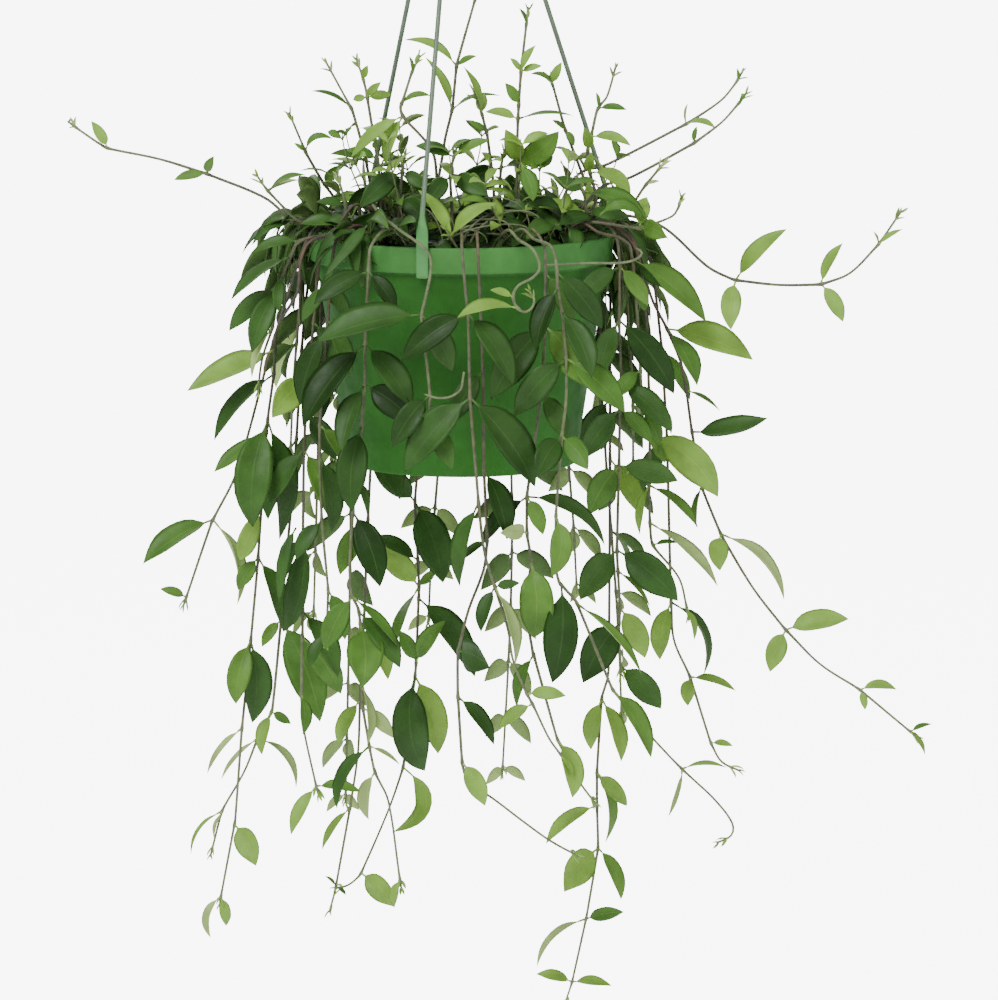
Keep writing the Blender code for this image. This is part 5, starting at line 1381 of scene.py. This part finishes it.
def loft(shape, stations):
    """A closed rod through stations: place, direction across, half width, half thickness, flatness."""
    rings = []
    places = [station[0] for station in stations]
    for number, (place, across, half_width, half_thick, flat) in enumerate(stations):
        ahead = places[min(number + 1, len(places) - 1)] - places[max(number - 1, 0)]
        normal = ahead.cross(across).normalized()
        power = 2 / (2 + (FLAT_POWER - 2) * flat)
        ring = []
        for turn in turns(LOFT_SIDES):
            x, y = [math.copysign(abs(part) ** power, part) for part in (math.cos(turn), math.sin(turn))]
            ring.append(shape.verts.new(place + across * (x * half_width) + normal * (y * half_thick)))
        rings.append(ring)
    for lower, upper in zip(rings, rings[1:]):
        for side in range(LOFT_SIDES):
            shape.faces.new(band(lower, upper, side))
    shape.faces.new(list(reversed(rings[0])))
    shape.faces.new(rings[-1])


print("loft rings have", LOFT_SIDES, "corners")

# %% Strands with their straps
STRAND_AZIMUTHS = (-14, 106, 218)
STRAND_RADIUS = 1.2 * MM
STRAND_OFF_AXIS = 2.5 * MM
STRAND_IN_HUB = 6 * MM
STRAND_STEPS = 20
STRAP_REACH = RIM_RADIUS + 1.15 * MM
# Height over the rim, half width and half thickness in mm, and flatness.
STRAP_STATIONS = ((16, 1.3, 1.2, 0), (13.5, 1.7, 1.15, 0.3), (11, 2.3, 1.05, 0.6), (9, 2.8, 0.95, 0.9),
                  (6.5, 3.0, 0.85, 1), (0, 3.0, 0.85, 1), (-6, 3.0, 0.85, 1), (-12, 3.0, 0.85, 1),
                  (-13.6, 2.95, 0.8, 1))
TOE_DROP = 13.65 * MM
TOE_LENGTH = 3.2 * MM
TOE_PARTS = (-0.15, 0.3, 0.65, 1)
TOE_HALF_WIDTH = 2.9 * MM
TOE_HALF_THICK = 0.72 * MM
HUB_BOTTOM = -46 * MM

shape = bmesh.new()
for azimuth in STRAND_AZIMUTHS:
    outward = around(azimuth, 1, 0)
    across = upwards(1).cross(outward)
    top = outward * STRAND_OFF_AXIS + upwards(HUB_BOTTOM + STRAND_IN_HUB)
    foot = outward * STRAP_REACH + upwards(RIM_TOP + STRAP_STATIONS[0][0] * MM)
    stations = [(top.lerp(foot, k / STRAND_STEPS), across, STRAND_RADIUS, STRAND_RADIUS, 0)
                for k in range(STRAND_STEPS)]
    for rise, width, thick, flat in STRAP_STATIONS:
        place = outward * STRAP_REACH + upwards(RIM_TOP + rise * MM)
        stations.append((place, across, width * MM, thick * MM, flat))
    loft(shape, stations)
    loft(shape, [(outward * (STRAP_REACH - part * TOE_LENGTH) + upwards(RIM_TOP - TOE_DROP), across,
                  TOE_HALF_WIDTH, TOE_HALF_THICK, 1) for part in TOE_PARTS])
print("strands", len(STRAND_AZIMUTHS), "corners", len(shape.verts))

# %% Hub and hook
HUB_RADIUS = 6.5 * MM
HUB_SIDES = 48
HUB_CORNER = 0.6 * MM
# Part of the radius, and height over the hub's bottom in mm.
HUB_OUTLINE = ((0, 0), (0.6, 0), (1, 4), (1, 6), (0.88, 6.6), (0.88, 8.4), (1, 9), (1, 11), (0.62, 15),
               (0, 15))
HUB_TOP = HUB_BOTTOM + 15 * MM
HOOK_ROD = 2.2 * MM
HOOK_INSIDE = 12 * MM
HOOK_TURN = 200
HOOK_STEPS = 24
HOOK_BEND = HOOK_INSIDE + HOOK_ROD
HOOK_CENTRE = Vector((0, 0, -HOOK_INSIDE))
# Sideways from the axis and up from the hub's top, in mm.
HOOK_NECK = ((0, -3), (0.6, 1.5), (4, 4.4), (8, 6.5), (11.4, 9.4), (13.4, 13.5))
# Sideways and up from the bend's far side in mm, and part of the rod's radius.
HOOK_TIP = ((-1, -9, 1), (-1.1, -10.2, 0.8), (-1.2, -10.8, 0.35))

hub_outline = [(HUB_RADIUS * part, HUB_BOTTOM + rise * MM) for part, rise in HUB_OUTLINE]
turned(shape, rounded(hub_outline, HUB_CORNER), HUB_SIDES)
hook_line = [Vector((x * MM, 0, HUB_TOP + rise * MM)) for x, rise in HOOK_NECK]
for k in range(HOOK_STEPS + 1):
    turn = math.radians(HOOK_TURN * k / HOOK_STEPS)
    hook_line.append(HOOK_CENTRE + Vector((math.cos(turn), 0, math.sin(turn))) * HOOK_BEND)
rods = [(place, HOOK_ROD) for place in hook_line]
bend_end = HOOK_CENTRE + Vector((-HOOK_BEND, 0, 0))
rods += [(bend_end + Vector((x * MM, 0, rise * MM)), HOOK_ROD * part) for x, rise, part in HOOK_TIP]
loft(shape, [(place, Vector((0, 1, 0)), radius, radius, 0) for place, radius in rods])
bmesh.ops.recalc_face_normals(shape, faces=shape.faces[:])
hanger_piece = smooth_object("hanger_fine", shape, hanger, sharp=40)
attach(hanger_piece, "root")
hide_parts("hanger")
print("hanger faces", len(hanger_piece.data.polygons))

# %% [markdown]
# ## Floor, light and backdrop
#
# The plant hangs well above a plain pale floor. One wide soft light from the upper left does most
# of the work, and the pale surroundings fill the shadows. The floor looks brighter to the camera
# than to the plant, so that it shows as a white ground without washing out the leaves from below.

# %% Floor
FLOOR_DROP = 0.32
FLOOR_HALF = 30.0
FLOOR_GLOW = 7.5
FLOOR_BOUNCE = 0.7

floor_z = cad_box[0][2] - FLOOR_DROP
floor_mesh = bpy.data.meshes.new("floor")
floor_corners = [(x * FLOOR_HALF, y * FLOOR_HALF, floor_z) for x, y in ((-1, -1), (1, -1), (1, 1), (-1, 1))]
floor_mesh.from_pydata(floor_corners, [], [(0, 1, 2, 3)])
floor = new_object("floor", floor_mesh)
pale_floor = Finish("pale_floor")
pale_floor.shade("Base Color", (0.86, 0.86, 0.86, 1))
pale_floor.shade("Roughness", 0.9)
pale_floor.shade("Emission Color", WHITE)
seen = pale_floor.add("LightPath", out="Is Camera Ray")
pale_floor.shade("Emission Strength", seen.fit(0.0, 1.0, FLOOR_BOUNCE, FLOOR_GLOW, smooth=False))
floor_mesh.materials.append(pale_floor.material)
print("floor at", round(floor_z, 3))

# %% Lights
# Name, place, size in m and power in W of each square light. All point at the middle of the plant.
SOFTBOXES = (("key", (-0.9, -1.7, 1.5), 1.2, 62), ("fill", (1.7, -1.3, 0.4), 1.4, 10),
             ("back", (-0.8, 1.9, 1.1), 1.4, 22))
SURROUNDINGS = 0.42

for name, place, size, power in SOFTBOXES:
    light = bpy.data.lights.new(name, "AREA")
    light.shape = "SQUARE"
    light.size = size
    light.energy = power
    box = bpy.data.objects.new(name, light)
    turn = (Vector(place) - LOOK_AT).to_track_quat("Z", "Y")
    box.matrix_world = Matrix.Translation(Vector(place)) @ turn.to_matrix().to_4x4()
    bpy.context.scene.collection.objects.link(box)
world = bpy.data.worlds.new("studio")
world.use_nodes = True
world.node_tree.nodes["Background"].inputs["Color"].default_value = WHITE
world.node_tree.nodes["Background"].inputs["Strength"].default_value = SURROUNDINGS
bpy.context.scene.world = world
